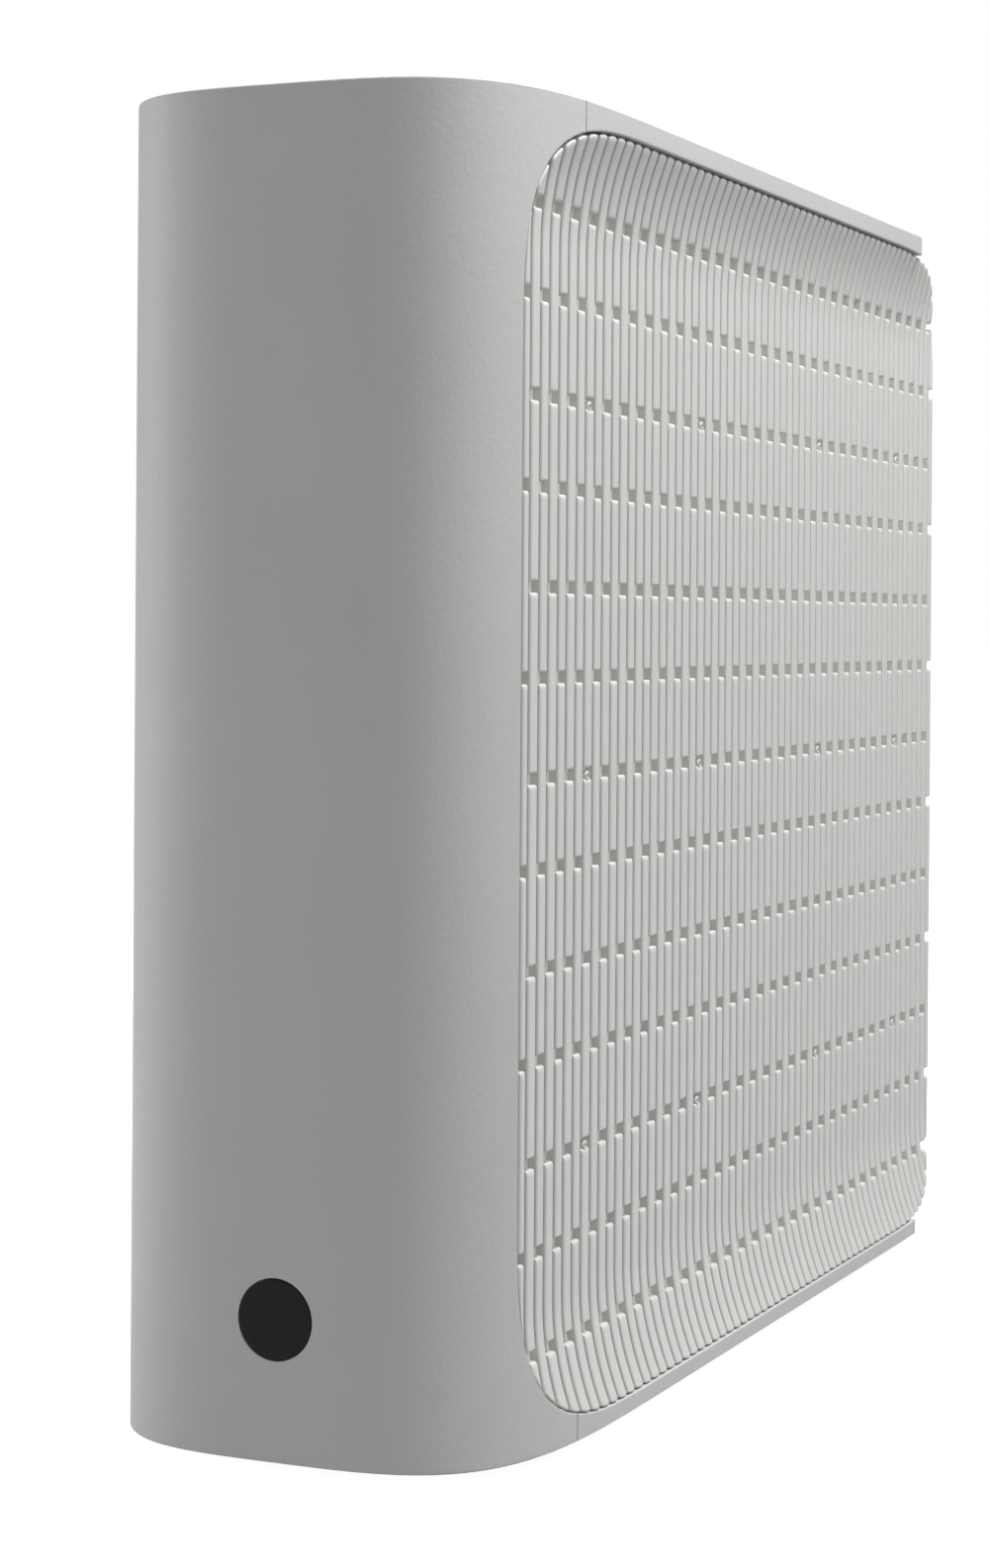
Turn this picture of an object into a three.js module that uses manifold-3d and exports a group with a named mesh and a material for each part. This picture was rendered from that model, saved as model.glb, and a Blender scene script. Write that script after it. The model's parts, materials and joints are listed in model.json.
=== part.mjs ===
// A tower wireless router: a wrap-around front cover, a top and a base cover, two flared side
// panels, a rear panel with the sockets and buttons, and the frame, board and antennas inside.
// Millimetres. X runs across, Y from the front to the back and Z up. The origin is under the
// middle of the router, on the surface that its feet stand on.

import * as THREE from 'three';
import { mergeVertices } from 'three/addons/utils/BufferGeometryUtils.js';
import Module from 'manifold-3d';

const wasm = await Module();
wasm.setup();

// ---------------------------------------------------------------- driving dimensions

const caseHeight = 210; // without the feet
const caseWidth = 76.2;
const coverDepth = 216.7; // front face to the rear ends of the top and base covers
const overallDepth = 240.5; // front face to the rear edges of the side panels
const footHeight = 1.5;
const wall = 2.8;
const gap = 0.3; // between pieces that touch

// The front is a superellipse: nearly flat, with big soft corners that run into the sides.
const noseDepth = 93.4;
const nosePowerAcross = 3.44;
const nosePowerAlong = 6;
const seamDepth = 31.3; // where the front cover meets the top and base covers

// The opening for a side panel, a rectangle with superellipse corners.
const openingFront = 15.2;
const openingCornerAlong = 47;
const openingCornerUp = 42;
const openingCornerPower = 4.4;
const panelGap = 0.4;

const panelFace = 33.9; // outer face of a side panel's flat part, from the middle
const panelThickness = 3.1;
const flareLength = 19.7; // the panel curves outwards over this much of its top and bottom
const flareOut = 4.1;

const frameClearance = 0.4; // between the frame and the casing around it
const frameHalfWidth = panelFace - panelThickness - frameClearance;
const frameFront = 24;
const frameBottom = wall + frameClearance;
const frameTop = caseHeight - wall - frameClearance;
const frameWall = 2;
const webFace = -12; // the face of the frame's middle wall that carries the board

const boardBack = -8.2;
const boardThickness = 1.6;
const boardFace = boardBack + boardThickness;
const boardRear = 210;
const partsBase = boardFace + gap; // where the parts on the board start

const rearPanelInside = 213.1;
const rearPanelThickness = 2.5;
const rearPanelOutside = rearPanelInside + rearPanelThickness;
const socketFace = rearPanelOutside + gap;

const screwShank = 1.25;
const screwHole = screwShank + gap;
const screwHead = 2.7;
const screwHeadHeight = 1.6;

// Heights of what is on the rear panel, from the underside of the base cover.
const inletHeight = 22;
const powerButtonHeight = 44;
const lightHeight = 57;
const wanHeight = 72;
const firstLanHeight = 96;
const lanPitch = 17;
const lanCount = 4;
const wpsButtonHeight = 168;
const resetHeight = 184;

// ---------------------------------------------------------------- materials

function material(color, roughness, metalness = 0) {
  return new THREE.MeshStandardMaterial({ color, roughness, metalness });
}

const coverPlastic = material(0xa3a4a1, 0.75);
const panelPlastic = material(0xcfd0cc, 0.6);
const rearPlastic = material(0x6f706e, 0.7);
const framePlastic = material(0x3a3b3c, 0.8);
const markPlastic = material(0x24262a, 0.5);
const socketPlastic = material(0x17181a, 0.6);
const wanPlastic = material(0x2f5f9e, 0.5);
const buttonPlastic = material(0x8d8e8b, 0.6);
const clearPlastic = material(0xe6ecef, 0.2);
const labelFilm = material(0xf2f2ee, 0.6);
const boardLaminate = material(0x1d5b3a, 0.5);
const chipEpoxy = material(0x202124, 0.6);
const padRubber = material(0x8aa0b5, 0.9);
const footRubber = material(0x2b2b2b, 0.95);
const leadJacket = material(0x2e2e30, 0.7);
const antennaLaminate = material(0xc9a447, 0.5);
const screwSteel = material(0xb7b9bb, 0.35, 1);
const shieldSteel = material(0xc4c6c8, 0.4, 1);
const sinkAluminium = material(0xb0b3b7, 0.45, 1);
const pinBrass = material(0xc8a450, 0.35, 1);

// ---------------------------------------------------------------- solids

// A closed geometry as a solid that can be joined and cut.
function solidOf(geometry) {
  geometry.deleteAttribute('normal');
  geometry.deleteAttribute('uv');
  const merged = mergeVertices(geometry, 1e-4);
  const mesh = new wasm.Mesh({
    numProp: 3,
    vertProperties: merged.attributes.position.array,
    triVerts: new Uint32Array(merged.index.array),
  });
  return new wasm.Manifold(mesh);
}

function geometryOf(solid) {
  const mesh = solid.getMesh();
  const geometry = new THREE.BufferGeometry();
  geometry.setAttribute('position', new THREE.BufferAttribute(mesh.vertProperties, 3));
  geometry.setIndex(new THREE.BufferAttribute(mesh.triVerts, 1));
  geometry.computeVertexNormals();
  return geometry;
}

// A box given by its lowest and highest place along each axis.
function block([left, right], [front, rear], [bottom, top]) {
  const geometry = new THREE.BoxGeometry(right - left, rear - front, top - bottom);
  geometry.translate((left + right) / 2, (front + rear) / 2, (bottom + top) / 2);
  return solidOf(geometry);
}

function rod(radius, start, end, sides = 16) {
  const from = new THREE.Vector3(...start);
  const to = new THREE.Vector3(...end);
  const direction = to.clone().sub(from);
  const geometry = new THREE.CylinderGeometry(radius, radius, direction.length(), sides);
  const turn = new THREE.Quaternion();
  turn.setFromUnitVectors(new THREE.Vector3(0, 1, 0), direction.normalize());
  geometry.applyQuaternion(turn);
  geometry.translate(...from.add(to).multiplyScalar(0.5).toArray());
  return solidOf(geometry);
}

function extrusion(outline, length) {
  const shape = new THREE.Shape(outline.map(([a, b]) => new THREE.Vector2(a, b)));
  return new THREE.ExtrudeGeometry(shape, { depth: length, bevelEnabled: false });
}

// An outline of [x, y] points, extruded upwards.
function prismAlongZ(outline, from, to) {
  const geometry = extrusion(outline, to - from);
  geometry.translate(0, 0, from);
  return solidOf(geometry);
}

// An outline of [y, z] points, extruded across.
function prismAlongX(outline, from, to) {
  const geometry = extrusion(outline, to - from);
  const axes = new THREE.Matrix4();
  axes.makeBasis(
    new THREE.Vector3(0, 1, 0),
    new THREE.Vector3(0, 0, 1),
    new THREE.Vector3(1, 0, 0),
  );
  geometry.applyMatrix4(axes);
  geometry.translate(from, 0, 0);
  return solidOf(geometry);
}

// An outline of [x, z] points, extruded from front to back.
function prismAlongY(outline, from, to) {
  const geometry = extrusion(outline, to - from);
  geometry.rotateX(Math.PI / 2);
  geometry.translate(0, to, 0);
  return solidOf(geometry);
}

function joined(solids) {
  return solids.reduce((whole, piece) => whole.add(piece));
}

function cut(solid, cutters) {
  return solid.subtract(joined(cutters));
}

function ordered(a, b) {
  return a < b ? [a, b] : [b, a];
}

// Every combination of one value from each list.
function grid(firsts, seconds) {
  return firsts.flatMap((first) => seconds.map((second) => [first, second]));
}

// ---------------------------------------------------------------- the casing's outlines

// The case seen from above, inset all round, from the middle of the front to the given rear.
function casePlan(inset, rear) {
  const steps = 14;
  const halfWidth = caseWidth / 2 - inset;
  const reach = noseDepth - inset;
  const side = [];
  for (let i = 1; i <= steps; i++) {
    const angle = ((i / steps) * Math.PI) / 2;
    const x = halfWidth * Math.sin(angle) ** (2 / nosePowerAcross);
    const y = inset + reach * (1 - Math.cos(angle) ** (2 / nosePowerAlong));
    side.push([x, y]);
  }
  side.push([halfWidth, rear]);
  const mirrored = side.map(([x, y]) => [-x, y]).reverse();
  return [[0, inset], ...side, ...mirrored];
}

// The side opening seen from the side, inset all round.
function openingOutline(inset) {
  const steps = 8;
  const along = openingCornerAlong - inset;
  const up = openingCornerUp - inset;
  const front = openingFront + inset;
  const rear = overallDepth + panelGap - inset;
  const bottom = wall + inset;
  const top = caseHeight - wall - inset;
  const corner = [];
  for (let i = 0; i <= steps; i++) {
    const angle = ((i / steps) * Math.PI) / 2;
    const inY = along * (1 - Math.cos(angle) ** (2 / openingCornerPower));
    const inZ = up * (1 - Math.sin(angle) ** (2 / openingCornerPower));
    corner.push([inY, inZ]);
  }
  const back = [...corner].reverse();
  return [
    ...corner.map(([y, z]) => [front + y, bottom + z]),
    ...back.map(([y, z]) => [rear - y, bottom + z]),
    ...corner.map(([y, z]) => [rear - y, top - z]),
    ...back.map(([y, z]) => [front + y, top - z]),
  ];
}

// The front, top and base covers are cut from one shell that is open at the sides and rear.
function caseShell() {
  const outside = prismAlongZ(casePlan(0, coverDepth), 0, caseHeight);
  const inside = prismAlongZ(casePlan(wall, coverDepth + 1), wall, caseHeight - wall);
  const opening = prismAlongX(openingOutline(0), -caseWidth, caseWidth);
  return cut(outside, [inside, opening]);
}

const shell = caseShell();
const across = [-caseWidth, caseWidth];

// ---------------------------------------------------------------- covers

const markRadius = 6.2;
const markHeight = 21.8;
const markThickness = 0.5;
const frontHooks = grid([-18, 18], [30, 180]); // X and Z of each hook
const frontHookWidth = 6;
const frontHookHeight = 3;
const frontHookBarb = 1;
const rooted = 0.5; // how far a hook starts inside the wall that carries it

// A post from the front cover that passes through the frame and catches behind its wall.
function frontHook([x, z]) {
  const catchFront = frameFront + frameWall + gap;
  const sides = [x - frontHookWidth / 2, x + frontHookWidth / 2];
  const tip = catchFront + 2 * frontHookBarb;
  const post = block(sides, [wall - rooted, tip], [z, z + frontHookHeight]);
  const barb = block(sides, [catchFront, tip], [z, z + frontHookHeight + frontHookBarb]);
  return post.add(barb);
}

function frontCover() {
  const front = shell.intersect(block(across, [-1, seamDepth], [-1, caseHeight + 1]));
  const markPocket = rod(
    markRadius + gap,
    [0, -1, markHeight],
    [0, markThickness + gap, markHeight],
    32,
  );
  return joined([cut(front, [markPocket]), ...frontHooks.map(frontHook)]);
}

function frontMark() {
  return rod(markRadius, [0, 0, markHeight], [0, markThickness, markHeight], 32);
}

const topHooks = grid([-1, 1], [62, 178]); // side and Y of each hook
const topHookX = 20;
const topHookLength = 10;
const topHookThickness = 1.6;
const topHookBarb = 0.8;

// A tab that hangs from the top cover through a slot in the frame and catches under it.
function topHook([side, y]) {
  const ledge = frameTop - frameWall - gap;
  const root = caseHeight - wall + rooted;
  const outside = topHookX + topHookThickness;
  const outline = [
    [topHookX, root],
    [outside, root],
    [outside, ledge],
    [outside + topHookBarb, ledge],
    [outside, ledge - 2 * topHookBarb],
    [topHookX, ledge - 2 * topHookBarb],
  ];
  const placed = outline.map(([x, z]) => [x * side, z]);
  return prismAlongY(placed, y - topHookLength / 2, y + topHookLength / 2);
}

function topCover() {
  const top = shell.intersect(
    block(across, [seamDepth + gap, overallDepth], [caseHeight / 2, caseHeight + 1]),
  );
  return joined([top, ...topHooks.map(topHook)]);
}

const footPlaces = grid([-26, 26], [42, 196]);
const footRadius = 6;
const footPocket = 0.8;
const baseScrewPlaces = grid([-22, 22], [60, 176]);
const baseScrewRecess = 1.4;
const baseVents = 9;
const baseVentPitch = 5;
const baseVentReach = [95, 135]; // Y
const ventWidth = 1.8;

function baseVent(index) {
  const x = (index - (baseVents - 1) / 2) * baseVentPitch;
  const sides = [x - ventWidth / 2, x + ventWidth / 2];
  return block(sides, baseVentReach, [-1, wall + 1]);
}

function baseCover() {
  const base = shell.intersect(
    block(across, [seamDepth + gap, overallDepth], [-1, caseHeight / 2]),
  );
  const cutters = [];
  for (const [x, y] of footPlaces) {
    cutters.push(rod(footRadius + gap, [x, y, -1], [x, y, footPocket], 20));
  }
  for (const [x, y] of baseScrewPlaces) {
    cutters.push(rod(screwHead + gap, [x, y, -1], [x, y, baseScrewRecess]));
    cutters.push(rod(screwHole, [x, y, 0], [x, y, wall + 1], 12));
  }
  for (let i = 0; i < baseVents; i++) {
    cutters.push(baseVent(i));
  }
  return cut(base, cutters);
}

function foot() {
  const profile = [
    [0, -footHeight],
    [footRadius - 0.6, -footHeight],
    [footRadius, -footHeight + 0.6],
    [footRadius, footPocket - gap],
    [0, footPocket - gap],
  ];
  const points = profile.map(([radius, height]) => new THREE.Vector2(radius, height));
  const geometry = new THREE.LatheGeometry(points, 20);
  geometry.rotateX(Math.PI / 2);
  return solidOf(geometry);
}

// ---------------------------------------------------------------- side panels

// How far the panel has curved outwards at a distance beyond its flat part.
function flareAt(beyondFlat) {
  return flareOut * (beyondFlat / flareLength) ** 2;
}

const panelHooks = grid([60, 180], [-1, 1]); // Y of each hook, and -1 at the bottom, 1 at the top
const panelHookReach = 26.9;
const panelHookLength = 10;
const panelHookThickness = 1.6;
const panelHookBarb = 1.4;

// A hook on the panel's inner face that goes up or down through a slot in the frame.
function panelHook(side, [y, end]) {
  const frameInside = frameTop - frameWall - caseHeight / 2;
  const under = frameInside - gap;
  const root = panelFace - rooted;
  const outline = [
    [panelHookReach, under - panelHookThickness],
    [root, under - panelHookThickness],
    [root, under],
    [panelHookReach + panelHookBarb, under],
    [panelHookReach + panelHookBarb, frameInside + panelHookBarb],
    [panelHookReach, frameInside + panelHookBarb],
  ];
  const placed = outline.map(([x, z]) => [x * side, caseHeight / 2 + z * end]);
  return prismAlongY(placed, y - panelHookLength / 2, y + panelHookLength / 2);
}

// The panel's section from the front: flat, and flared outwards at the top and bottom.
function panelSection(side) {
  const steps = 6;
  const halfHeight = caseHeight / 2 - wall;
  const upperHalf = [];
  for (let i = 0; i <= steps; i++) {
    const beyondFlat = (i / steps) * flareLength;
    upperHalf.push([flareAt(beyondFlat), halfHeight - flareLength + beyondFlat]);
  }
  const line = [...upperHalf.map(([x, z]) => [x, -z]).reverse(), ...upperHalf];
  const outer = line.map(([x, z]) => [side * (panelFace + x), caseHeight / 2 + z]);
  const inner = line.map(([x, z]) => [
    side * (panelFace - panelThickness + x),
    caseHeight / 2 + z,
  ]);
  return [...outer, ...inner.reverse()];
}

function sidePanel(side) {
  const sheet = prismAlongY(panelSection(side), 0, overallDepth + 1);
  const edge = prismAlongX(openingOutline(panelGap), -caseWidth, caseWidth);
  const hooks = panelHooks.map((place) => panelHook(side, place));
  return joined([sheet.intersect(edge), ...hooks]);
}

// ---------------------------------------------------------------- inner frame

const boardScrewPlaces = grid([42, 188], [26, 192]); // Y and Z
const rearScrewPlaces = grid([-25.4, 25.4], [9.8, caseHeight - 9.8]); // X and Z
const cornerBlock = 6;

function frameCornerBlock([x, z]) {
  return block(
    [x - 5, x + 5],
    [200, rearPanelInside - gap],
    [Math.max(z - cornerBlock, frameBottom), Math.min(z + cornerBlock, frameTop)],
  );
}

function frameSlots() {
  const spread = gap + 0.1;
  const slots = frontHooks.map(([x, z]) => block(
    [x - frontHookWidth / 2 - spread, x + frontHookWidth / 2 + spread],
    [frameFront - 1, frameFront + frameWall + 1],
    [z - spread, z + frontHookHeight + frontHookBarb + spread],
  ));
  for (const [side, y] of topHooks) {
    const outside = topHookX + topHookThickness + topHookBarb;
    slots.push(block(
      ordered(side * (topHookX - spread), side * (outside + spread)),
      [y - topHookLength / 2 - spread, y + topHookLength / 2 + spread],
      [frameTop - frameWall - 1, frameTop + 1],
    ));
  }
  for (const [[y, end], side] of grid(panelHooks, [-1, 1])) {
    const middle = caseHeight / 2;
    const inner = side * (panelHookReach - spread);
    const outer = side * (panelHookReach + panelHookBarb + spread);
    const ends = [middle + end * (frameTop - middle - frameWall - 1), middle + end * middle];
    slots.push(block(
      ordered(inner, outer),
      [y - panelHookLength / 2 - spread, y + panelHookLength / 2 + spread],
      ordered(...ends),
    ));
  }
  return slots;
}

function innerFrame() {
  const rear = rearPanelInside - gap;
  const whole = block([-frameHalfWidth, frameHalfWidth], [frameFront, rear], [frameBottom, frameTop]);
  const inFront = frameFront + frameWall;
  const inHeight = [frameBottom + frameWall, frameTop - frameWall];
  const boardSide = block([webFace, caseWidth], [inFront, rear + 1], inHeight);
  const leadSide = block([-caseWidth, webFace - frameWall], [inFront, rear + 1], inHeight);
  const bosses = boardScrewPlaces.map(([y, z]) => (
    rod(3.2, [webFace - 1, y, z], [boardBack - gap, y, z])
  ));
  const baseBosses = baseScrewPlaces.map(([x, y]) => (
    rod(3.2, [x, y, frameBottom + 0.5], [x, y, frameBottom + 8])
  ));
  const corners = rearScrewPlaces.map(frameCornerBlock);
  const boardHoles = boardScrewPlaces.map(([y, z]) => (
    rod(screwHole, [webFace - frameWall - 1, y, z], [0, y, z], 12)
  ));
  const baseHoles = baseScrewPlaces.map(([x, y]) => (
    rod(screwHole, [x, y, 0], [x, y, frameBottom + 9], 12)
  ));
  const rearHoles = rearScrewPlaces.map(([x, z]) => (
    rod(screwHole, [x, 199, z], [x, rear + 1, z], 12)
  ));
  const ventReach = (baseVents / 2) * baseVentPitch;
  const airWindow = block([-ventReach, ventReach], baseVentReach, [0, frameBottom + frameWall]);
  const walls = joined([cut(whole, [boardSide, leadSide]), ...bosses, ...baseBosses, ...corners]);
  return cut(walls, [airWindow, ...boardHoles, ...baseHoles, ...rearHoles, ...frameSlots()]);
}

// ---------------------------------------------------------------- screws

// A pan head screw with a cross recess, its head's top at the origin and its shank down -Y.
function screw(length) {
  const profile = [
    [0, -length],
    [0.4, -length],
    [screwShank, 1 - length],
    [screwShank, -screwHeadHeight],
    [screwHead, -screwHeadHeight],
    [screwHead, -0.6],
    [screwHead - 0.7, 0],
    [0, 0],
  ];
  const points = profile.map(([radius, height]) => new THREE.Vector2(radius, height));
  const body = solidOf(new THREE.LatheGeometry(points, 12));
  const recess = [
    block([-1.5, 1.5], [-0.9, 1], [-0.3, 0.3]),
    block([-0.3, 0.3], [-0.9, 1], [-1.5, 1.5]),
  ];
  return cut(body, recess);
}

// ---------------------------------------------------------------- rear panel and its sockets

const jackWidth = 15.9; // along Z, as the board stands upright
const jackHeight = 13.4; // along X, from the board
const jackDepth = 21;
const jackMiddle = partsBase + jackHeight / 2;
const plugWidth = 11.8;
const plugHeight = 8.2;
const plugDepth = 13;
const latchWidth = 6.4;
const latchHeight = 2.2;
const jackFloor = 1.4; // between the socket and the board's side of the jack

const inletWidth = 9.4;
const inletAcross = 11;
const inletDepth = 14.4;
const inletMiddle = partsBase + inletAcross / 2;
const inletBore = 3.2;
const inletBoreDepth = 9.6;
const inletPinRadius = 1;
const inletPinSetback = 0.8;

const switchSize = 7;
const switchMiddle = partsBase + switchSize / 2;
const plungerRadius = 1.7;
const resetPinhole = 0.9;

const powerButton = { height: powerButtonHeight, radius: 4.6, travel: 1.5 };
const wpsButton = { height: wpsButtonHeight, radius: 3.2, travel: 0.8 };
const resetTravel = 0.3;
const lightRadius = 1.2;

const jackHeights = [wanHeight];
for (let i = 0; i < lanCount; i++) {
  jackHeights.push(firstLanHeight + i * lanPitch);
}

// A network jack: a block with a stepped socket for the plug and its latch.
function networkJack(height) {
  const body = block(
    [partsBase, partsBase + jackHeight],
    [socketFace - jackDepth, socketFace],
    [height - jackWidth / 2, height + jackWidth / 2],
  );
  const plugFloor = partsBase + jackFloor;
  const depth = [socketFace - plugDepth, socketFace + 1];
  const plugSpace = block(
    [plugFloor, plugFloor + plugHeight],
    depth,
    [height - plugWidth / 2, height + plugWidth / 2],
  );
  const latchSpace = block(
    [plugFloor + plugHeight - 0.5, plugFloor + plugHeight + latchHeight],
    depth,
    [height - latchWidth / 2, height + latchWidth / 2],
  );
  return cut(body, [plugSpace, latchSpace]);
}

function powerInlet() {
  const body = block(
    [partsBase, partsBase + inletAcross],
    [socketFace - inletDepth, socketFace],
    [inletHeight - inletWidth / 2, inletHeight + inletWidth / 2],
  );
  const bore = rod(
    inletBore,
    [inletMiddle, socketFace - inletBoreDepth, inletHeight],
    [inletMiddle, socketFace + 1, inletHeight],
  );
  return cut(body, [bore]);
}

function powerInletPin() {
  return rod(
    inletPinRadius,
    [inletMiddle, socketFace - inletBoreDepth + gap, inletHeight],
    [inletMiddle, socketFace - inletPinSetback, inletHeight],
    12,
  );
}

const rearVents = 20;
const rearVentPitch = 4.5;
const rearVentSides = [14, 27];

function rearVent(index) {
  const z = caseHeight / 2 + (index - (rearVents - 1) / 2) * rearVentPitch;
  return block(
    rearVentSides,
    [rearPanelInside - 1, rearPanelOutside + 1],
    [z - ventWidth / 2, z + ventWidth / 2],
  );
}

// A hole through the rear panel for something of this half width and half height.
function panelWindow(x, z, halfWidth, halfHeight) {
  return block(
    [x - halfWidth - gap, x + halfWidth + gap],
    [rearPanelInside - 1, rearPanelOutside + 1],
    [z - halfHeight - gap, z + halfHeight + gap],
  );
}

function panelHole(x, z, radius, sides = 20) {
  return rod(radius, [x, rearPanelInside - 1, z], [x, rearPanelOutside + 1, z], sides);
}

const rearScrewRecess = 1.2;

function rearPanel() {
  const plate = block(
    [-frameHalfWidth, frameHalfWidth],
    [rearPanelInside, rearPanelOutside],
    [frameBottom, frameTop],
  );
  const cutters = jackHeights.map((z) => (
    panelWindow(jackMiddle, z, jackHeight / 2, jackWidth / 2)
  ));
  cutters.push(panelWindow(inletMiddle, inletHeight, inletAcross / 2, inletWidth / 2));
  for (const button of [powerButton, wpsButton]) {
    cutters.push(panelHole(switchMiddle, button.height, button.radius + gap));
  }
  cutters.push(panelHole(switchMiddle, resetHeight, resetPinhole, 12));
  cutters.push(panelHole(switchMiddle, lightHeight, lightRadius + gap, 12));
  for (const [x, z] of rearScrewPlaces) {
    const start = rearPanelOutside - rearScrewRecess;
    cutters.push(panelHole(x, z, screwHole, 12));
    cutters.push(rod(screwHead + gap, [x, start, z], [x, rearPanelOutside + 1, z]));
  }
  for (let i = 0; i < rearVents; i++) {
    cutters.push(rearVent(i));
  }
  return cut(plate, cutters);
}

const labelSides = [-27, -14];
const labelEnds = [70, 140];
const labelThickness = 0.2;

// A blank film label beside the sockets.
function ratingLabel() {
  const surface = rearPanelOutside + gap;
  return block(labelSides, [surface, surface + labelThickness], labelEnds);
}

// ---------------------------------------------------------------- buttons and switches

const switchRear = 204;
const switchDepth = 6;
const switchFloor = 1.8; // behind the bore
const plungerEnd = switchRear + 2.7;
const buttonFlange = 1; // both its thickness and how far it stands out
const buttonStem = 2;
const buttonEdge = 0.5;

// A switch on the board, with a bore that its plunger slides in.
function pushSwitch(height, rear) {
  const body = block(
    [partsBase, partsBase + switchSize],
    [rear - switchDepth, rear],
    [height - switchSize / 2, height + switchSize / 2],
  );
  const boreFloor = rear - switchDepth + switchFloor;
  const bore = rod(
    plungerRadius + gap,
    [switchMiddle, boreFloor, height],
    [switchMiddle, rear + 1, height],
  );
  return cut(body, [bore]);
}

// The plunger stands clear of the bore's floor by the distance that it travels.
function plunger(height, rear, end, travel) {
  const start = rear - switchDepth + switchFloor + gap + travel;
  return rod(plungerRadius, [switchMiddle, start, height], [switchMiddle, end, height], 12);
}

// A round cap proud of the rear panel, with a flange that keeps it in and a stem to its switch.
function button({ height, radius, travel }) {
  const faceY = rearPanelOutside + travel;
  const flangeRear = rearPanelInside - gap;
  const profile = [
    [0, plungerEnd + gap],
    [buttonStem, plungerEnd + gap],
    [buttonStem, flangeRear - buttonFlange],
    [radius + buttonFlange, flangeRear - buttonFlange],
    [radius + buttonFlange, flangeRear],
    [radius, flangeRear],
    [radius, faceY - buttonEdge],
    [radius - buttonEdge, faceY],
    [0, faceY],
  ];
  const points = profile.map(([r, y]) => new THREE.Vector2(r, y));
  const geometry = new THREE.LatheGeometry(points, 20);
  geometry.translate(switchMiddle, 0, height);
  return solidOf(geometry);
}

const resetSwitchRear = 208;
const ledReach = [205, 207.6]; // Y
const ledHalfLength = 1.6;

function statusLed() {
  return block(
    [partsBase, switchMiddle + lightRadius],
    ledReach,
    [lightHeight - ledHalfLength, lightHeight + ledHalfLength],
  );
}

function statusLightPipe() {
  return rod(
    lightRadius,
    [switchMiddle, ledReach[1] + gap, lightHeight],
    [switchMiddle, socketFace, lightHeight],
    12,
  );
}

// ---------------------------------------------------------------- the board and what is on it

const boardFront = 34;
const boardBottom = 14;
const boardTop = 198;
const processor = { y: 130, z: 108, size: 17, height: 1.8 };
const padThickness = 0.8;
const sinkSize = 44;
const sinkBase = 2.4;
const finCount = 9;
const finThickness = 1.4;
const finHeight = 12;

function mainBoard() {
  const board = block([boardBack, boardFace], [boardFront, boardRear], [boardBottom, boardTop]);
  const holes = boardScrewPlaces.map(([y, z]) => (
    rod(screwHole, [boardBack - 1, y, z], [boardFace + 1, y, z], 12)
  ));
  return cut(board, holes);
}

// A square or oblong part standing on the board.
function onBoard(y, z, alongY, alongZ, height) {
  return block(
    [partsBase, partsBase + height],
    [y - alongY / 2, y + alongY / 2],
    [z - alongZ / 2, z + alongZ / 2],
  );
}

function processorPad() {
  const start = partsBase + processor.height + gap;
  const half = processor.size / 2;
  return block(
    [start, start + padThickness],
    [processor.y - half, processor.y + half],
    [processor.z - half, processor.z + half],
  );
}

// A comb seen from above: upright fins, so that warm air rises between them.
function processorSink() {
  const start = partsBase + processor.height + padThickness + 2 * gap;
  const front = processor.y - sinkSize / 2;
  const pitch = (sinkSize - finThickness) / (finCount - 1);
  const outline = [[start, front]];
  for (let i = 0; i < finCount; i++) {
    const fin = front + i * pitch;
    outline.push([start + sinkBase + finHeight, fin]);
    outline.push([start + sinkBase + finHeight, fin + finThickness]);
    if (i < finCount - 1) {
      outline.push([start + sinkBase, fin + finThickness]);
      outline.push([start + sinkBase, fin + pitch]);
    }
  }
  outline.push([start, front + sinkSize]);
  return prismAlongZ(outline, processor.z - sinkSize / 2, processor.z + sinkSize / 2);
}

const shieldHeight = 3.6;
const shieldAlong = 36;
const shieldUp = 30;
const shieldSheet = 0.4;
const shieldMiddle = { y: 68, upperZ: 138, lowerZ: 84 };

// A pressed can, open towards the board.
function radioShield(z) {
  const can = onBoard(shieldMiddle.y, z, shieldAlong, shieldUp, shieldHeight);
  const inside = block(
    [partsBase - 1, partsBase + shieldHeight - shieldSheet],
    [shieldMiddle.y - shieldAlong / 2 + shieldSheet, shieldMiddle.y + shieldAlong / 2 - shieldSheet],
    [z - shieldUp / 2 + shieldSheet, z + shieldUp / 2 - shieldSheet],
  );
  return cut(can, [inside]);
}

function capacitor(y, z) {
  return rod(4, [partsBase, y, z], [partsBase + 10, y, z], 20);
}

// ---------------------------------------------------------------- antennas and their leads

const antennaLength = 50;
const antennaWidth = 12;
const antennaThickness = 0.8;
const antennaMiddle = 12; // X of every antenna's middle
const lowFeed = 62; // heights of the front antennas' middles
const highFeed = 148;
const nearFeed = 92; // Y of the top antennas' middles
const farFeed = 160;
const leadRadius = 0.6;
const plugRadius = 1.4;
const plugLength = 1.4;

const frontAntennaFace = frameFront + frameWall + gap;
const topAntennaFace = frameTop - frameWall - gap;

function frontAntenna(z) {
  return block(
    [antennaMiddle - antennaWidth / 2, antennaMiddle + antennaWidth / 2],
    [frontAntennaFace, frontAntennaFace + antennaThickness],
    [z - antennaLength / 2, z + antennaLength / 2],
  );
}

function topAntenna(y) {
  return block(
    [antennaMiddle - antennaWidth / 2, antennaMiddle + antennaWidth / 2],
    [y - antennaLength / 2, y + antennaLength / 2],
    [topAntennaFace - antennaThickness, topAntennaFace],
  );
}

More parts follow.
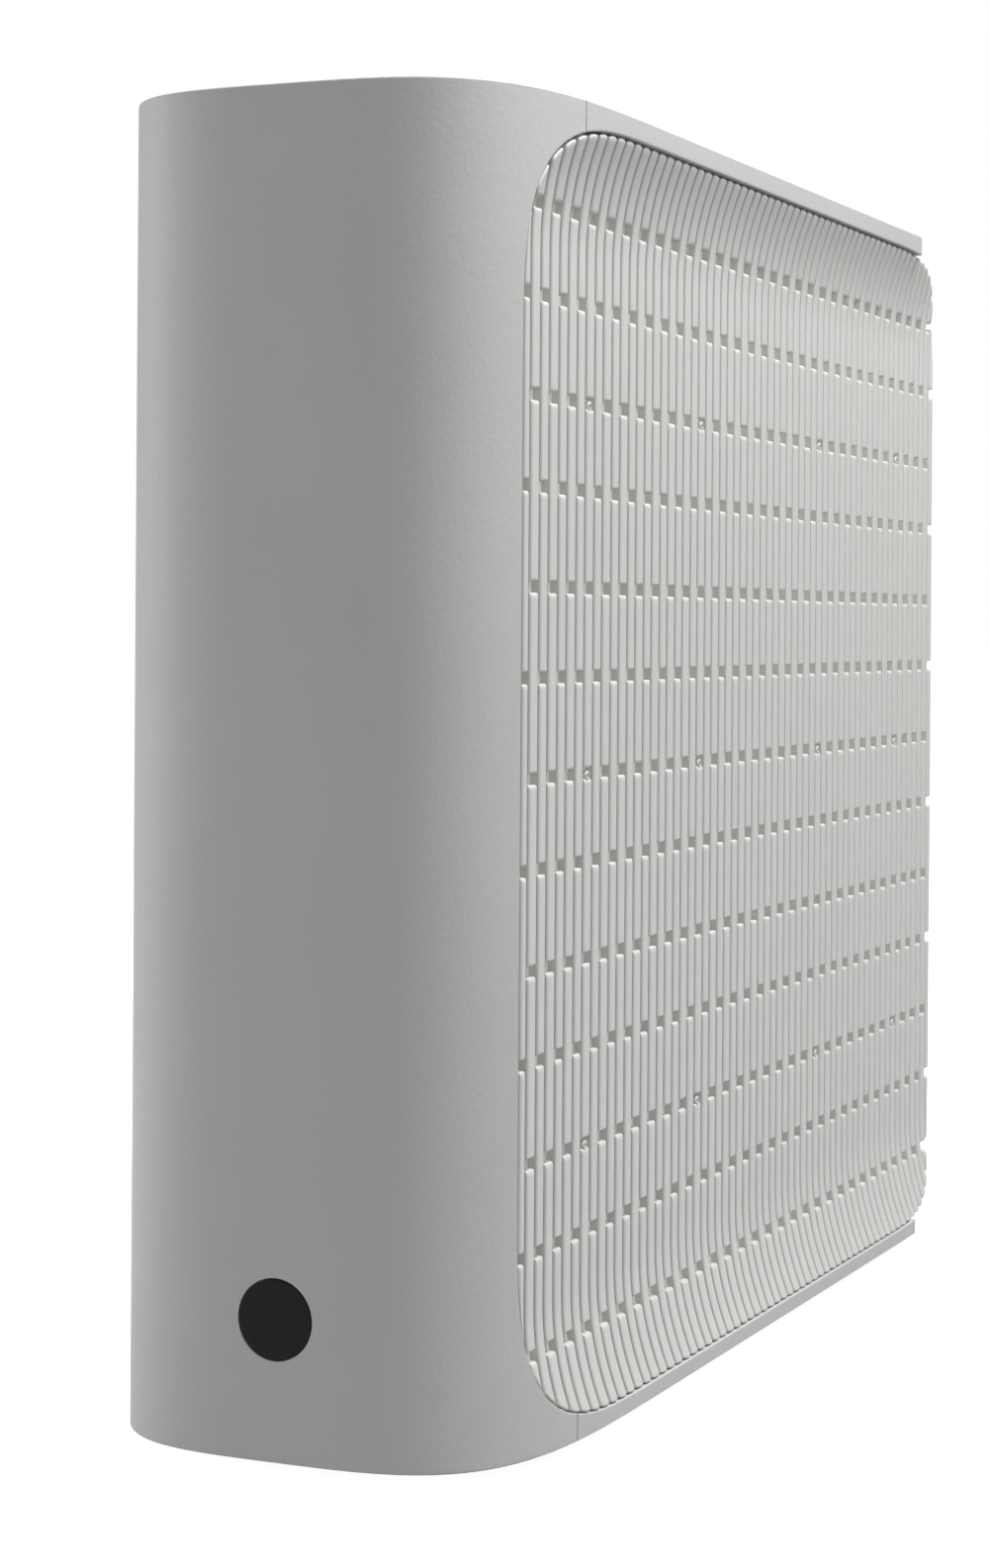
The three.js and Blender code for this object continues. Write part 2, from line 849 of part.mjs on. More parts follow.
// A thin coaxial lead along its route, ending in a round plug that faces the radio shield.
function antennaLead(route) {
  const points = route.map((point) => new THREE.Vector3(...point));
  const path = new THREE.CatmullRomCurve3(points, false, 'centripetal');
  const section = new THREE.Shape();
  section.absarc(0, 0, leadRadius, 0, 2 * Math.PI);
  const geometry = new THREE.ExtrudeGeometry(section, {
    steps: 28,
    curveSegments: 4,
    bevelEnabled: false,
    extrudePath: path,
  });
  const [x, y, z] = route[route.length - 1];
  const plug = rod(plugRadius, [x - 0.2, y, z], [x + plugLength, y, z], 12);
  return solidOf(geometry).add(plug);
}

const leadEnd = partsBase + shieldHeight + gap + 0.2;
const upperPlugZ = shieldMiddle.upperZ + 8;
const lowerPlugZ = shieldMiddle.lowerZ + 8;
const frontLeadStart = frontAntennaFace + antennaThickness + gap;
const topLeadStart = topAntennaFace - antennaThickness - gap;

const leadRoutes = [
  [
    [antennaMiddle, frontLeadStart, lowFeed],
    [antennaMiddle, frontLeadStart + 5, lowFeed],
    [9, 44, 72],
    [6, 57, 90],
    [leadEnd, 58, lowerPlugZ],
  ],
  [
    [antennaMiddle, frontLeadStart, highFeed],
    [antennaMiddle, frontLeadStart + 5, highFeed],
    [9, 44, 147],
    [6, 55, 147],
    [leadEnd, 58, upperPlugZ],
  ],
  [
    [antennaMiddle, nearFeed, topLeadStart],
    [antennaMiddle, nearFeed, topLeadStart - 5],
    [9, 86, 180],
    [6, 79, 152],
    [leadEnd, 78, upperPlugZ],
  ],
  [
    [antennaMiddle, farFeed, topLeadStart],
    [antennaMiddle, farFeed, topLeadStart - 5],
    [12, 130, 182],
    [11, 98, 150],
    [8, 86, 104],
    [leadEnd, 78, lowerPlugZ],
  ],
];

// ---------------------------------------------------------------- the assembly

// Inside this group Y starts at the front face and Z at the underside of the base cover.
const casework = new THREE.Group();
casework.position.set(0, -overallDepth / 2, footHeight);

function place(name, finish, solid, position = [0, 0, 0], turn = [0, 0, 0]) {
  const mesh = new THREE.Mesh(geometryOf(solid), finish.clone());
  mesh.name = name;
  mesh.position.set(...position);
  mesh.rotation.set(...turn);
  casework.add(mesh);
}

function placeCasing() {
  place('front_cover', coverPlastic, frontCover());
  place('front_mark', markPlastic, frontMark());
  place('top_cover', coverPlastic, topCover());
  place('base_cover', coverPlastic, baseCover());
  place('right_side_panel', panelPlastic, sidePanel(1));
  place('left_side_panel', panelPlastic, sidePanel(-1));
  place('inner_frame', framePlastic, innerFrame());
  place('rear_panel', rearPlastic, rearPanel());
  place('rating_label', labelFilm, ratingLabel());
  footPlaces.forEach(([x, y], i) => {
    place(`foot_${i + 1}`, footRubber, foot(), [x, y, 0]);
  });
}

function placeSockets() {
  const names = ['wan_jack'];
  for (let i = 1; i <= lanCount; i++) {
    names.push(`lan_jack_${i}`);
  }
  names.forEach((name, i) => {
    place(name, i === 0 ? wanPlastic : socketPlastic, networkJack(jackHeights[i]));
  });
  place('power_inlet', socketPlastic, powerInlet());
  place('power_inlet_pin', pinBrass, powerInletPin());
}

function placeButtons() {
  const { travel } = powerButton;
  place('power_button', buttonPlastic, button(powerButton));
  place('power_switch', socketPlastic, pushSwitch(powerButtonHeight, switchRear));
  place(
    'power_switch_plunger',
    markPlastic,
    plunger(powerButtonHeight, switchRear, plungerEnd, travel),
  );
  place('wps_button', buttonPlastic, button(wpsButton));
  place('wps_switch', socketPlastic, pushSwitch(wpsButtonHeight, switchRear));
  place(
    'wps_switch_plunger',
    markPlastic,
    plunger(wpsButtonHeight, switchRear, plungerEnd, wpsButton.travel),
  );
  place('reset_switch', socketPlastic, pushSwitch(resetHeight, resetSwitchRear));
  place(
    'reset_switch_plunger',
    markPlastic,
    plunger(resetHeight, resetSwitchRear, rearPanelInside - 1, resetTravel),
  );
  place('status_led', labelFilm, statusLed());
  place('status_light_pipe', clearPlastic, statusLightPipe());
}

function placeElectronics() {
  const { y, z, size, height } = processor;
  place('main_board', boardLaminate, mainBoard());
  place('processor_chip', chipEpoxy, onBoard(y, z, size, size, height));
  place('processor_thermal_pad', padRubber, processorPad());
  place('processor_heatsink', sinkAluminium, processorSink());
  place('memory_chip', chipEpoxy, onBoard(130, 144, 13, 9, 1.2));
  place('network_switch_chip', chipEpoxy, onBoard(178, 122, 14, 14, 1.4));
  place('power_capacitor_1', sinkAluminium, capacitor(184, 40));
  place('power_capacitor_2', sinkAluminium, capacitor(184, 52));
  place('upper_radio_shield', shieldSteel, radioShield(shieldMiddle.upperZ));
  place('lower_radio_shield', shieldSteel, radioShield(shieldMiddle.lowerZ));
  const antennas = [
    frontAntenna(lowFeed),
    frontAntenna(highFeed),
    topAntenna(nearFeed),
    topAntenna(farFeed),
  ];
  antennas.forEach((antenna, i) => {
    place(`antenna_${i + 1}`, antennaLaminate, antenna);
    place(`antenna_lead_${i + 1}`, leadJacket, antennaLead(leadRoutes[i]));
  });
}

function placeScrews() {
  const quarter = Math.PI / 2;
  const boardHead = boardFace + gap + screwHeadHeight;
  boardScrewPlaces.forEach(([y, z], i) => {
    place(`board_screw_${i + 1}`, screwSteel, screw(6.5), [boardHead, y, z], [0, 0, -quarter]);
  });
  const rearHead = rearPanelOutside - rearScrewRecess + gap + screwHeadHeight;
  rearScrewPlaces.forEach(([x, z], i) => {
    place(`rear_screw_${i + 1}`, screwSteel, screw(10), [x, rearHead, z]);
  });
  const baseHead = baseScrewRecess - gap - screwHeadHeight;
  baseScrewPlaces.forEach(([x, y], i) => {
    place(`base_screw_${i + 1}`, screwSteel, screw(9), [x, y, baseHead], [-quarter, 0, 0]);
  });
}

placeCasing();
placeSockets();
placeButtons();
placeElectronics();
placeScrews();

const router = new THREE.Group();
router.add(casework);

export default router;
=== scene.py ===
"""A tower wireless router: its looks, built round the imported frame.

Sizes are the design's own millimetres: X across, Y back from the front face and Z up from the
underside of the base cover. in_frame() turns them into the frame's metres.
"""

import json
import math

import bmesh
import bpy
import numpy as np
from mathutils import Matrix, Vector


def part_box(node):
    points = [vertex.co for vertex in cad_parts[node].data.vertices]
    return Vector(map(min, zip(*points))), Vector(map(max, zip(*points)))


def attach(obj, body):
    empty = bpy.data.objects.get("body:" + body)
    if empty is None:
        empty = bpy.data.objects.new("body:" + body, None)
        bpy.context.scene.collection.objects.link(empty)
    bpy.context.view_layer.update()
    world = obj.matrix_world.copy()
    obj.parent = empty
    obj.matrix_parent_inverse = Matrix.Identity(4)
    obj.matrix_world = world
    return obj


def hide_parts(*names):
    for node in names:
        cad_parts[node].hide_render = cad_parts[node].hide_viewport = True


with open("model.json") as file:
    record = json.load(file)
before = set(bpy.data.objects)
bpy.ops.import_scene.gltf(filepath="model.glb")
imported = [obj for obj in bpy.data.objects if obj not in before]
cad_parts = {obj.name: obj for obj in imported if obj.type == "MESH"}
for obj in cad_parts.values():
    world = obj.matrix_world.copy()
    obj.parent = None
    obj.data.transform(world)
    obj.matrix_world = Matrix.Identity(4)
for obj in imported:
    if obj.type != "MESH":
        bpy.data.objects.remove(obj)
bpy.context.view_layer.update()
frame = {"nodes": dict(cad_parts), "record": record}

MM = 0.001
COVER_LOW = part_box("front_cover")[0]
ORIGIN = np.array([0, COVER_LOW.y, COVER_LOW.z])
ACROSS, BACK, UP = (1, 0, 0), (0, 1, 0), (0, 0, 1)

# How finely shapes are made.
SIDES = 64  # of a turned solid
SIDES_LARGE = 96
SIDES_SMALL = 48
SIDES_TINY = 24
NOSE_POINTS = 44  # from the middle of the front to the cover's rear edge
NOSE_CROWDING = 1.5  # over 1 puts more of those points near the middle
COVER_CROWDING = 1.6  # the same for the top and base covers, towards their ends
WELD = 0.002  # points closer than this become one
SHARP_ANGLE = 40  # degrees; flatter edges are shaded smooth
PANEL_SHARP_ANGLE = 60
SMALLEST_ARC = 0.02

# The case: a superellipse in plan, extruded upwards.
CASE_HEIGHT = 210.0
HALF_WIDTH = 38.1
NOSE_DEPTH = 93.4
NOSE_POWER_ACROSS = 3.44
NOSE_POWER_ALONG = 6.0
WALL = 2.8
TOP_EXTRA = 0.8  # the strip over an opening is this much taller than the one under it
SEAM = 31.2  # where the front cover ends
SEAM_GAP = 0.3
SEAM_EDGE = 0.1  # rounding of the edges at the seam
COVER_END = 216.7  # rear ends of the top and base covers
COVER_FRONT_RUN = 40.0  # the lengths of those covers whose edge follows the opening's corners
COVER_REAR_RUN = 24.0
COVER_STEP = 0.5  # how much thicker a cover's wall is at its floor than at its lip
RIM = 0.35  # rounding of the top and bottom edges
LIP = 0.25  # rounding of the front cover's edge at the opening
STRIP_LIP = 0.25  # the same on the top and base covers

# The side opening, and the panel that fills it.
OPENING_FRONT = 15.2
OPENING_REAR = 240.65
CORNER_ALONG = 47.0
CORNER_UP = 42.0
CORNER_POWER = 4.4
PANEL_GAP = 0.15
PANEL_DROP = 0.1  # the panel sits this much below the opening's middle
PANEL_FACE = 33.9
PANEL_THICKNESS = 3.1
FLARE_LENGTH = 19.7
FLARE_OUT = 4.1

# The ribs.
RIB_COUNT = 61
RIB_PITCH = 3.73
RIB_WIDTH = 2.8
RIB_ALTERNATION = 0.13  # every other rib is this much wider, the rest as much narrower
RIB_HEIGHT = 1.6
RIB_EDGE = 0.42
RIB_CREST = 0.2  # the narrowest that the flat crest of a rib may be
RIB_SHOULDER = 0.85  # length of the softer rounding at a rib's upper ends
RIB_ROOT = 0.15  # how deep the ribs start inside the sheet
RIB_TIP_GAP = 0.1
RIB_SIDE_GAP = 0.05  # between the first or last rib and the panel's edge
SHORTEST_RIB = RIB_EDGE + RIB_SHOULDER + 0.1
RIB_TIP_ROUNDING = 0.35  # how far a tip's middle stands beyond its corners
FIRST_RIB = 15.9
GAP_HEIGHT = 1.8
GAP_MIDDLE = 104.4
GAP_SHIFT = 0.36  # the even ribs' gaps are this much higher, the odd ribs' as much lower
GAP_STEP = 29.55  # between the gaps of one rib; every other rib's are half a step off

# Small features of a side panel.
PIP_RIBS = (7, 21, 39, 53)  # counted from the front, from 0
PIP_GAPS = (1, 3, 5)  # counted from the lowest, from 0
PIP_DROP = 0.35  # below the middle of the gap
PIP_RADIUS = 0.78
PIP_BORE = 0.4
PIP_HEIGHT = 1.5
CATCH_GROOVES = (14, 50)  # the catches are in the grooves behind these ribs
CATCH_LENGTH = 1.7
CATCH_WIDTH = 0.8
CATCH_FROM_EDGE = 3.4

# The underside.
FOOT_PLACES = [(x, y) for x in (-26, 26) for y in (42, 196)]
FOOT_RADIUS = 6.0
FOOT_HEIGHT = 1.5
FOOT_POCKET = 0.8
FOOT_EDGE = 0.5
FOOT_DISH = 0.25  # depth of the shallow dish in a foot's sole
POCKET_CLEARANCE = 0.15  # round a foot or the mark, in its pocket
BASE_SCREW_PLACES = [(x, y) for x in (-22, 22) for y in (60, 176)]
BASE_SCREW_RECESS = 1.4
BASE_VENTS = 9
BASE_VENT_PITCH = 5.0
BASE_VENT_REACH = (95.0, 135.0)
VENT_WIDTH = 1.8

# The rear panel and what shows on it.
PANEL_BACK = 215.6
PANEL_INSIDE = 213.1
REAR_HALF_WIDTH = 30.4
REAR_ENDS = (3.2, 206.8)
JACK_HEIGHTS = (72.0, 96.0, 113.0, 130.0, 147.0)
JACK_SIDES = (-6.3, 7.1)
JACK_HALF = 7.95
JACK_FLOOR = -4.9
JACK_FACE = 215.9
INLET_HEIGHT = 22.0
INLET_SIDES = (-6.3, 4.7)
INLET_HALF = 4.7
BUTTON_MIDDLE = -2.8
BUTTON_EDGE = 0.5
BUTTON_FLANGE = 1.0  # how much wider than the cap the flange is, and how thick
BUTTON_STEM = 2.0  # radius
BUTTON_STEM_START = 207.0
POWER_BUTTON = {"height": 44.0, "radius": 4.6, "travel": 1.5}
WPS_BUTTON = {"height": 168.0, "radius": 3.2, "travel": 0.8}
LIGHT_HEIGHT = 57.0
LIGHT_RADIUS = 1.2
LIGHT_START = 207.9
RESET_HEIGHT = 184.0
RESET_RADIUS = 0.9
REAR_VENTS = 20
REAR_VENT_PITCH = 4.5
REAR_VENT_SIDES = (14.0, 27.0)
REAR_SCREW_PLACES = [(x, z) for x in (-25.4, 25.4) for z in (9.8, 200.2)]
REAR_SCREW_RECESS = 1.2
SCREW_HEAD = 2.7
SCREW_HEAD_HEIGHT = 1.6
SCREW_SHANK = 1.25
SCREW_HOLE_DEPTH = 20
CLEARANCE = 0.3
NODE_EDGE = 0.12  # rounding of the edges of the pieces that come from the frame

# The dark disc at the foot of the front.
MARK_HEIGHT = 21.8
MARK_RADIUS = 6.2
MARK_THICKNESS = 0.5
MARK_EDGE = 0.2

# The camera, which stands level with its lens shifted down.
CAMERA_PLACE = (1.0547, -2.006, 0.6087)  # in case heights, from the foot of the front
CAMERA_FACING = (-0.4034, 0.9150, 0)
CAMERA_ROLL = 0.0067  # radians
CAMERA_LENS = 71.7
CAMERA_SHIFT = -0.102

# The white room: its strength as a light, and the glow of the floor, which is a light table.
ROOM_LIGHT = 0.25
FLOOR_GLOW = 0.80
FLOOR_REACH = 30.0  # metres from the middle

# The lamps: place and size in metres, and power in watts. All of them face LAMP_TARGET.
LAMP_TARGET = (0, 0, 0.1)
LAMPS = {
    "key_above_right": ((0.29, -0.03, 0.73), (0.24, 0.24), 6.6),
    "left_side": ((-0.85, -0.25, 0.25), (0.5, 0.6), 4.0),
    "fill_by_camera": ((0.45, -0.85, 0.30), (0.7, 0.7), 1.2),
    "rear_left": ((-0.35, 0.85, 0.35), (0.7, 0.7), 2.2),
}


# ---------------------------------------------------------------- meshes


def in_frame(points):
    """Points in design millimetres as points in the frame, in metres."""
    return np.asarray(points, float).reshape(-1, 3) * MM + ORIGIN


def grid_faces(rows, columns, start=0):
    """The quads between the points of a grid that is stored row by row."""
    corner = start + np.arange(rows - 1)[:, None] * columns + np.arange(columns - 1)
    corner = corner.ravel()
    quads = np.stack([corner, corner + 1, corner + columns + 1, corner + columns], 1)
    return [tuple(quad) for quad in quads.tolist()]


def ring_faces(rings, around, capped=True):
    """The quads between rings of points, and a face over each end."""
    faces = []
    for ring in range(rings - 1):
        low, high = ring * around, (ring + 1) * around
        for i in range(around):
            j = (i + 1) % around
            faces.append((low + i, low + j, high + j, high + i))
    if capped:
        faces.append(tuple(range(around)))
        faces.append(tuple(range((rings - 1) * around, rings * around)))
    return faces


def turned(profile, middle, axis, sides=SIDES):
    """A turned solid: profile is (radius, place along the axis) and middle is on the axis."""
    along = Vector(axis)
    first = along.orthogonal().normalized()
    second = along.cross(first)
    points = []
    for radius, place in profile:
        for turn in np.linspace(0, 2 * math.pi, sides, endpoint=False):
            spoke = first * math.cos(turn) + second * math.sin(turn)
            points.append(tuple(Vector(middle) + along * place + spoke * radius))
    return points, ring_faces(len(profile), sides)


def rounded_rectangle(lows, highs, radius, steps=6):
    """A function from an inset to the outline's points, anticlockwise."""

    def outline(inset=0.0):
        arc = max(radius - inset, SMALLEST_ARC)
        points = []
        for quarter in range(4):
            right, upper = quarter in (0, 3), quarter in (0, 1)
            middle_a = highs[0] - inset - arc if right else lows[0] + inset + arc
            middle_b = highs[1] - inset - arc if upper else lows[1] + inset + arc
            for step in range(steps + 1):
                turn = math.pi / 2 * (quarter + step / steps)
                points.append((middle_a + arc * math.cos(turn), middle_b + arc * math.sin(turn)))
        return points

    return outline


def prism(outline, stations, axis):
    """A solid with the outline's section, at each (place, inset) of stations along an axis."""
    points = []
    for place, inset in stations:
        for a, b in outline(inset):
            points.append({ACROSS: (place, a, b), BACK: (a, place, b), UP: (a, b, place)}[axis])
    return points, ring_faces(len(stations), len(outline(0.0)))


def block(lows, highs, edge=0.0):
    """A box with its upright edges rounded."""
    outline = rounded_rectangle(lows[:2], highs[:2], edge + SMALLEST_ARC, 3)
    return prism(outline, [(lows[2], 0), (highs[2], 0)], UP)


def together(shapes):
    """Several (points, faces) shapes as one."""
    points, faces = [], []
    for shape_points, shape_faces in shapes:
        start = len(points)
        points.extend(np.asarray(shape_points, float).reshape(-1, 3).tolist())
        faces.extend(tuple(start + i for i in face) for face in shape_faces)
    return points, faces


def new_mesh(name, shapes, smooth_angle=SHARP_ANGLE):
    """A mesh in the frame, its normals facing out, smooth but for its sharp edges."""
    points, faces = together(shapes)
    mesh = bpy.data.meshes.new(name)
    mesh.from_pydata(in_frame(points).tolist(), [], faces)
    work = bmesh.new()
    work.from_mesh(mesh)
    bmesh.ops.remove_doubles(work, verts=work.verts, dist=WELD * MM)
    bmesh.ops.recalc_face_normals(work, faces=work.faces)
    work.to_mesh(mesh)
    work.free()
    mesh.shade_smooth()
    mesh.set_sharp_from_angle(angle=math.radians(smooth_angle))
    return mesh


def carved(mesh, shapes, smooth_angle=SHARP_ANGLE):
    """The mesh with the shapes cut out of it."""
    pieces = [mesh, new_mesh("cutter", shapes)]
    body, tool = [bpy.data.objects.new("carving", piece) for piece in pieces]
    for piece in (body, tool):
        bpy.context.scene.collection.objects.link(piece)
    cut = body.modifiers.new("cut", "BOOLEAN")
    cut.solver = "EXACT"
    cut.object = tool
    depsgraph = bpy.context.evaluated_depsgraph_get()
    result = bpy.data.meshes.new_from_object(body.evaluated_get(depsgraph))
    for piece in (body, tool):
        bpy.data.objects.remove(piece)
    result.name = mesh.name
    result.shade_smooth()
    result.set_sharp_from_angle(angle=math.radians(smooth_angle))
    return result


def add_piece(name, mesh, slot, nodes=(), body="case", edge=0.0):
    """An object that rides on a body, has its slot's finish and stands for CAD nodes."""
    piece = bpy.data.objects.new(name, mesh)
    bpy.context.scene.collection.objects.link(piece)
    mesh.materials.append(FINISHES[slot])
    if edge:
        soften(piece, edge)
    shading = piece.modifiers.new("even_shading", "WEIGHTED_NORMAL")
    shading.keep_sharp = True
    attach(piece, body)
    if nodes:
        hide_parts(*nodes)
    return piece


def soften(piece, edge):
    """Rounds a piece's sharp edges by a small radius, in mm."""
    bevel = piece.modifiers.new("soft_edges", "BEVEL")
    bevel.width = edge * MM
    bevel.segments = 2
    bevel.limit_method = "ANGLE"
    bevel.angle_limit = math.radians(SHARP_ANGLE)
    bevel.harden_normals = False


def round_edge(radius, steps=4):
    """Offsets (in from the side, down from the face) over a rounded edge, from the side on."""
    turns = [math.pi / 2 * step / steps for step in range(steps + 1)]
    return [(radius * (1 - math.cos(t)), radius * (1 - math.sin(t))) for t in turns]


# ---------------------------------------------------------------- materials

# The slow unevenness of moulded plastic, under its grain.
WAVE_SIZE = 9
WAVE_DEPTH = 0.02
CLOUD_SIZE = 30


def material_nodes(name):
    material = bpy.data.materials.new(name)
    material.use_nodes = True
    nodes = material.node_tree.nodes
    return material, nodes, material.node_tree.links, nodes["Principled BSDF"]


def noise(nodes, links, size_mm, detail=2.0, roughness=0.5):
    """Noise whose blobs are about size_mm across, in the object's own space."""
    place = nodes.new("ShaderNodeTexCoord")
    texture = nodes.new("ShaderNodeTexNoise")
    texture.inputs["Scale"].default_value = 1 / (size_mm * MM)
    texture.inputs["Detail"].default_value = detail
    texture.inputs["Roughness"].default_value = roughness
    links.new(place.outputs["Object"], texture.inputs["Vector"])
    return texture.outputs["Fac"]


def spread(nodes, links, factor, low, high):
    """A factor mapped to the range from low to high."""
    mapped = nodes.new("ShaderNodeMapRange")
    mapped.inputs["From Min"].default_value = 0.25
    mapped.inputs["From Max"].default_value = 0.75
    mapped.inputs["To Min"].default_value = low
    mapped.inputs["To Max"].default_value = high
    links.new(factor, mapped.inputs["Value"])
    return mapped.outputs["Result"]


def tinted(nodes, links, factor, color, change):
    """The colour, a little darker and lighter as factor goes from 0 to 1."""
    ramp = nodes.new("ShaderNodeValToRGB")
    ramp.color_ramp.elements[0].position = 0.3
    ramp.color_ramp.elements[1].position = 0.7
    for element, sign in zip(ramp.color_ramp.elements, (-1, 1)):
        element.color = [channel * (1 + sign * change) for channel in color] + [1]
    links.new(factor, ramp.inputs["Fac"])
    return ramp.outputs["Color"]


def bumped(nodes, links, heights):
    """A normal from several (height, depth in mm) layers."""
    normal = None
    for height, depth in heights:
        bump = nodes.new("ShaderNodeBump")
        bump.inputs["Distance"].default_value = depth * MM
        links.new(height, bump.inputs["Height"])
        if normal:
            links.new(normal, bump.inputs["Normal"])
        normal = bump.outputs["Normal"]
    return normal


def plastic(name, color, roughness, grain_mm, grain_depth, mottle=0.02):
    """Moulded plastic: a fine surface grain, slightly uneven gloss and faint mottling."""
    material, nodes, links, shader = material_nodes(name)
    grain = noise(nodes, links, grain_mm, detail=3)
    waviness = noise(nodes, links, WAVE_SIZE, detail=2)
    clouds = noise(nodes, links, CLOUD_SIZE, detail=4)
    links.new(tinted(nodes, links, clouds, color, mottle), shader.inputs["Base Color"])
    gloss = spread(nodes, links, grain, roughness - 0.05, roughness + 0.05)
    links.new(gloss, shader.inputs["Roughness"])
    normal = bumped(nodes, links, [(grain, grain_depth), (waviness, WAVE_DEPTH)])
    links.new(normal, shader.inputs["Normal"])
    return material


def metal(name, color, roughness, grain_mm=0.4, stretch=1.0):
    """Metal with fine brushing along Z, and a little tarnish."""
    material, nodes, links, shader = material_nodes(name)
    place = nodes.new("ShaderNodeTexCoord")
    squeeze = nodes.new("ShaderNodeMapping")
    squeeze.inputs["Scale"].default_value = (1, 1, 1 / stretch)
    texture = nodes.new("ShaderNodeTexNoise")
    texture.inputs["Scale"].default_value = 1 / (grain_mm * MM)
    links.new(place.outputs["Object"], squeeze.inputs["Vector"])
    links.new(squeeze.outputs["Vector"], texture.inputs["Vector"])
    brushing = texture.outputs["Fac"]
    tarnish = noise(nodes, links, 5, detail=3)
    shader.inputs["Metallic"].default_value = 1
    links.new(tinted(nodes, links, tarnish, color, 0.06), shader.inputs["Base Color"])
    gloss = spread(nodes, links, brushing, roughness - 0.08, roughness + 0.08)
    links.new(gloss, shader.inputs["Roughness"])
    links.new(bumped(nodes, links, [(brushing, 0.01)]), shader.inputs["Normal"])
    return material


def matt_black():
    """The mark's moulding: nearly black, with hardly any sheen."""
    material = plastic("mark_plastic", (0.009, 0.009, 0.011), 0.6, 0.5, 0.01)
    material.node_tree.nodes["Principled BSDF"].inputs["Specular IOR Level"].default_value = 0.12
    return material


def clear_plastic():
    material = plastic("clear_plastic", (0.90, 0.95, 0.97), 0.12, 1.5, 0.004)
    shader = material.node_tree.nodes["Principled BSDF"]
    shader.inputs["Transmission Weight"].default_value = 0.9
    shader.inputs["IOR"].default_value = 1.49
    return material


FINISHES = {
    "cover_plastic": plastic("cover_plastic", (0.53, 0.53, 0.52), 0.58, 0.9, 0.05, 0.015),
    "panel_plastic": plastic("panel_plastic", (0.62, 0.62, 0.605), 0.5, 0.6, 0.008, 0.01),
    "rear_plastic": plastic("rear_plastic", (0.17, 0.17, 0.17), 0.6, 0.7, 0.06),
    "frame_plastic": plastic("frame_plastic", (0.05, 0.05, 0.055), 0.65, 0.8, 0.05),
    "mark_plastic": matt_black(),
    "label_film": plastic("label_film", (0.80, 0.80, 0.77), 0.4, 2.0, 0.004),
    "foot_rubber": plastic("foot_rubber", (0.03, 0.03, 0.03), 0.85, 0.5, 0.05, 0.1),
    "socket_plastic": plastic("socket_plastic", (0.012, 0.012, 0.013), 0.45, 0.4, 0.02),
    "wan_plastic": plastic("wan_plastic", (0.03, 0.12, 0.34), 0.45, 0.4, 0.02),
    "button_plastic": plastic("button_plastic", (0.27, 0.27, 0.26), 0.5, 0.5, 0.02),
    "board_laminate": plastic("board_laminate", (0.02, 0.12, 0.05), 0.35, 1.2, 0.02, 0.1),
    "chip_epoxy": plastic("chip_epoxy", (0.02, 0.02, 0.02), 0.55, 0.3, 0.01),
    "pad_rubber": plastic("pad_rubber", (0.30, 0.42, 0.52), 0.8, 0.5, 0.02),
    "antenna_laminate": plastic("antenna_laminate", (0.45, 0.30, 0.06), 0.4, 0.8, 0.02, 0.08),
    "lead_jacket": plastic("lead_jacket", (0.03, 0.03, 0.035), 0.5, 0.4, 0.01),
    "pin_brass": metal("pin_brass", (0.83, 0.60, 0.26), 0.28),
    "sink_aluminium": metal("sink_aluminium", (0.72, 0.73, 0.75), 0.4, stretch=20),
    "shield_steel": metal("shield_steel", (0.66, 0.67, 0.69), 0.35, stretch=12),
    "screw_steel": metal("screw_steel", (0.60, 0.61, 0.63), 0.32),
    "clear_plastic": clear_plastic(),
}


# ---------------------------------------------------------------- the case's shape


def nose_curve(depth, count, inset=0.0):
    """The case's plan from the middle of the front back to a depth: x, y and unit normals."""
    half, reach = HALF_WIDTH - inset, NOSE_DEPTH - inset
    end = math.acos((1 - (depth - inset) / reach) ** (NOSE_POWER_ALONG / 2))
    angle = end * np.linspace(0, 1, count) ** NOSE_CROWDING
    across = np.sin(angle) ** (2 / NOSE_POWER_ACROSS)
    left = np.cos(angle) ** (2 / NOSE_POWER_ALONG)
    slope_x = NOSE_POWER_ACROSS / half * across ** (NOSE_POWER_ACROSS - 1)
    slope_y = -NOSE_POWER_ALONG / reach * left ** (NOSE_POWER_ALONG - 1)
    normal = np.stack([slope_x, slope_y], 1)
    normal /= np.linalg.norm(normal, axis=1, keepdims=True)
    return half * across, inset + reach * (1 - left), normal


def half_width_at(depth):
    """Half the case's width at a depth behind its front face."""
    left = np.clip(1 - np.asarray(depth, float) / NOSE_DEPTH, 0, 1)
    return HALF_WIDTH * (1 - left**NOSE_POWER_ALONG) ** (1 / NOSE_POWER_ACROSS)


def corner_inset(distance, span, other):
    """How far in a corner's curve is, at a distance along the side that it starts from."""
    left = np.clip(1 - np.asarray(distance, float) / span, 0, 1)
    return other * (1 - np.clip(1 - left**CORNER_POWER, 0, 1) ** (1 / CORNER_POWER))


def opening_front_at(height):
    """Depth of the opening's front edge at a height in the opening."""
    nearest = min(height - WALL, CASE_HEIGHT - TOP_EXTRA - WALL - height)
    return OPENING_FRONT + float(corner_inset(nearest, CORNER_UP, CORNER_ALONG))


def opening_low_at(depth, inset=0.0):
    """Height of the opening's lower edge at a depth, with the edge moved in all round."""
    front = np.asarray(depth, float) - OPENING_FRONT - inset
    rear = OPENING_REAR - inset - np.asarray(depth, float)
    nearest = np.clip(np.minimum(front, rear), 0, None)
    return WALL + inset + corner_inset(nearest, CORNER_ALONG - inset, CORNER_UP - inset)


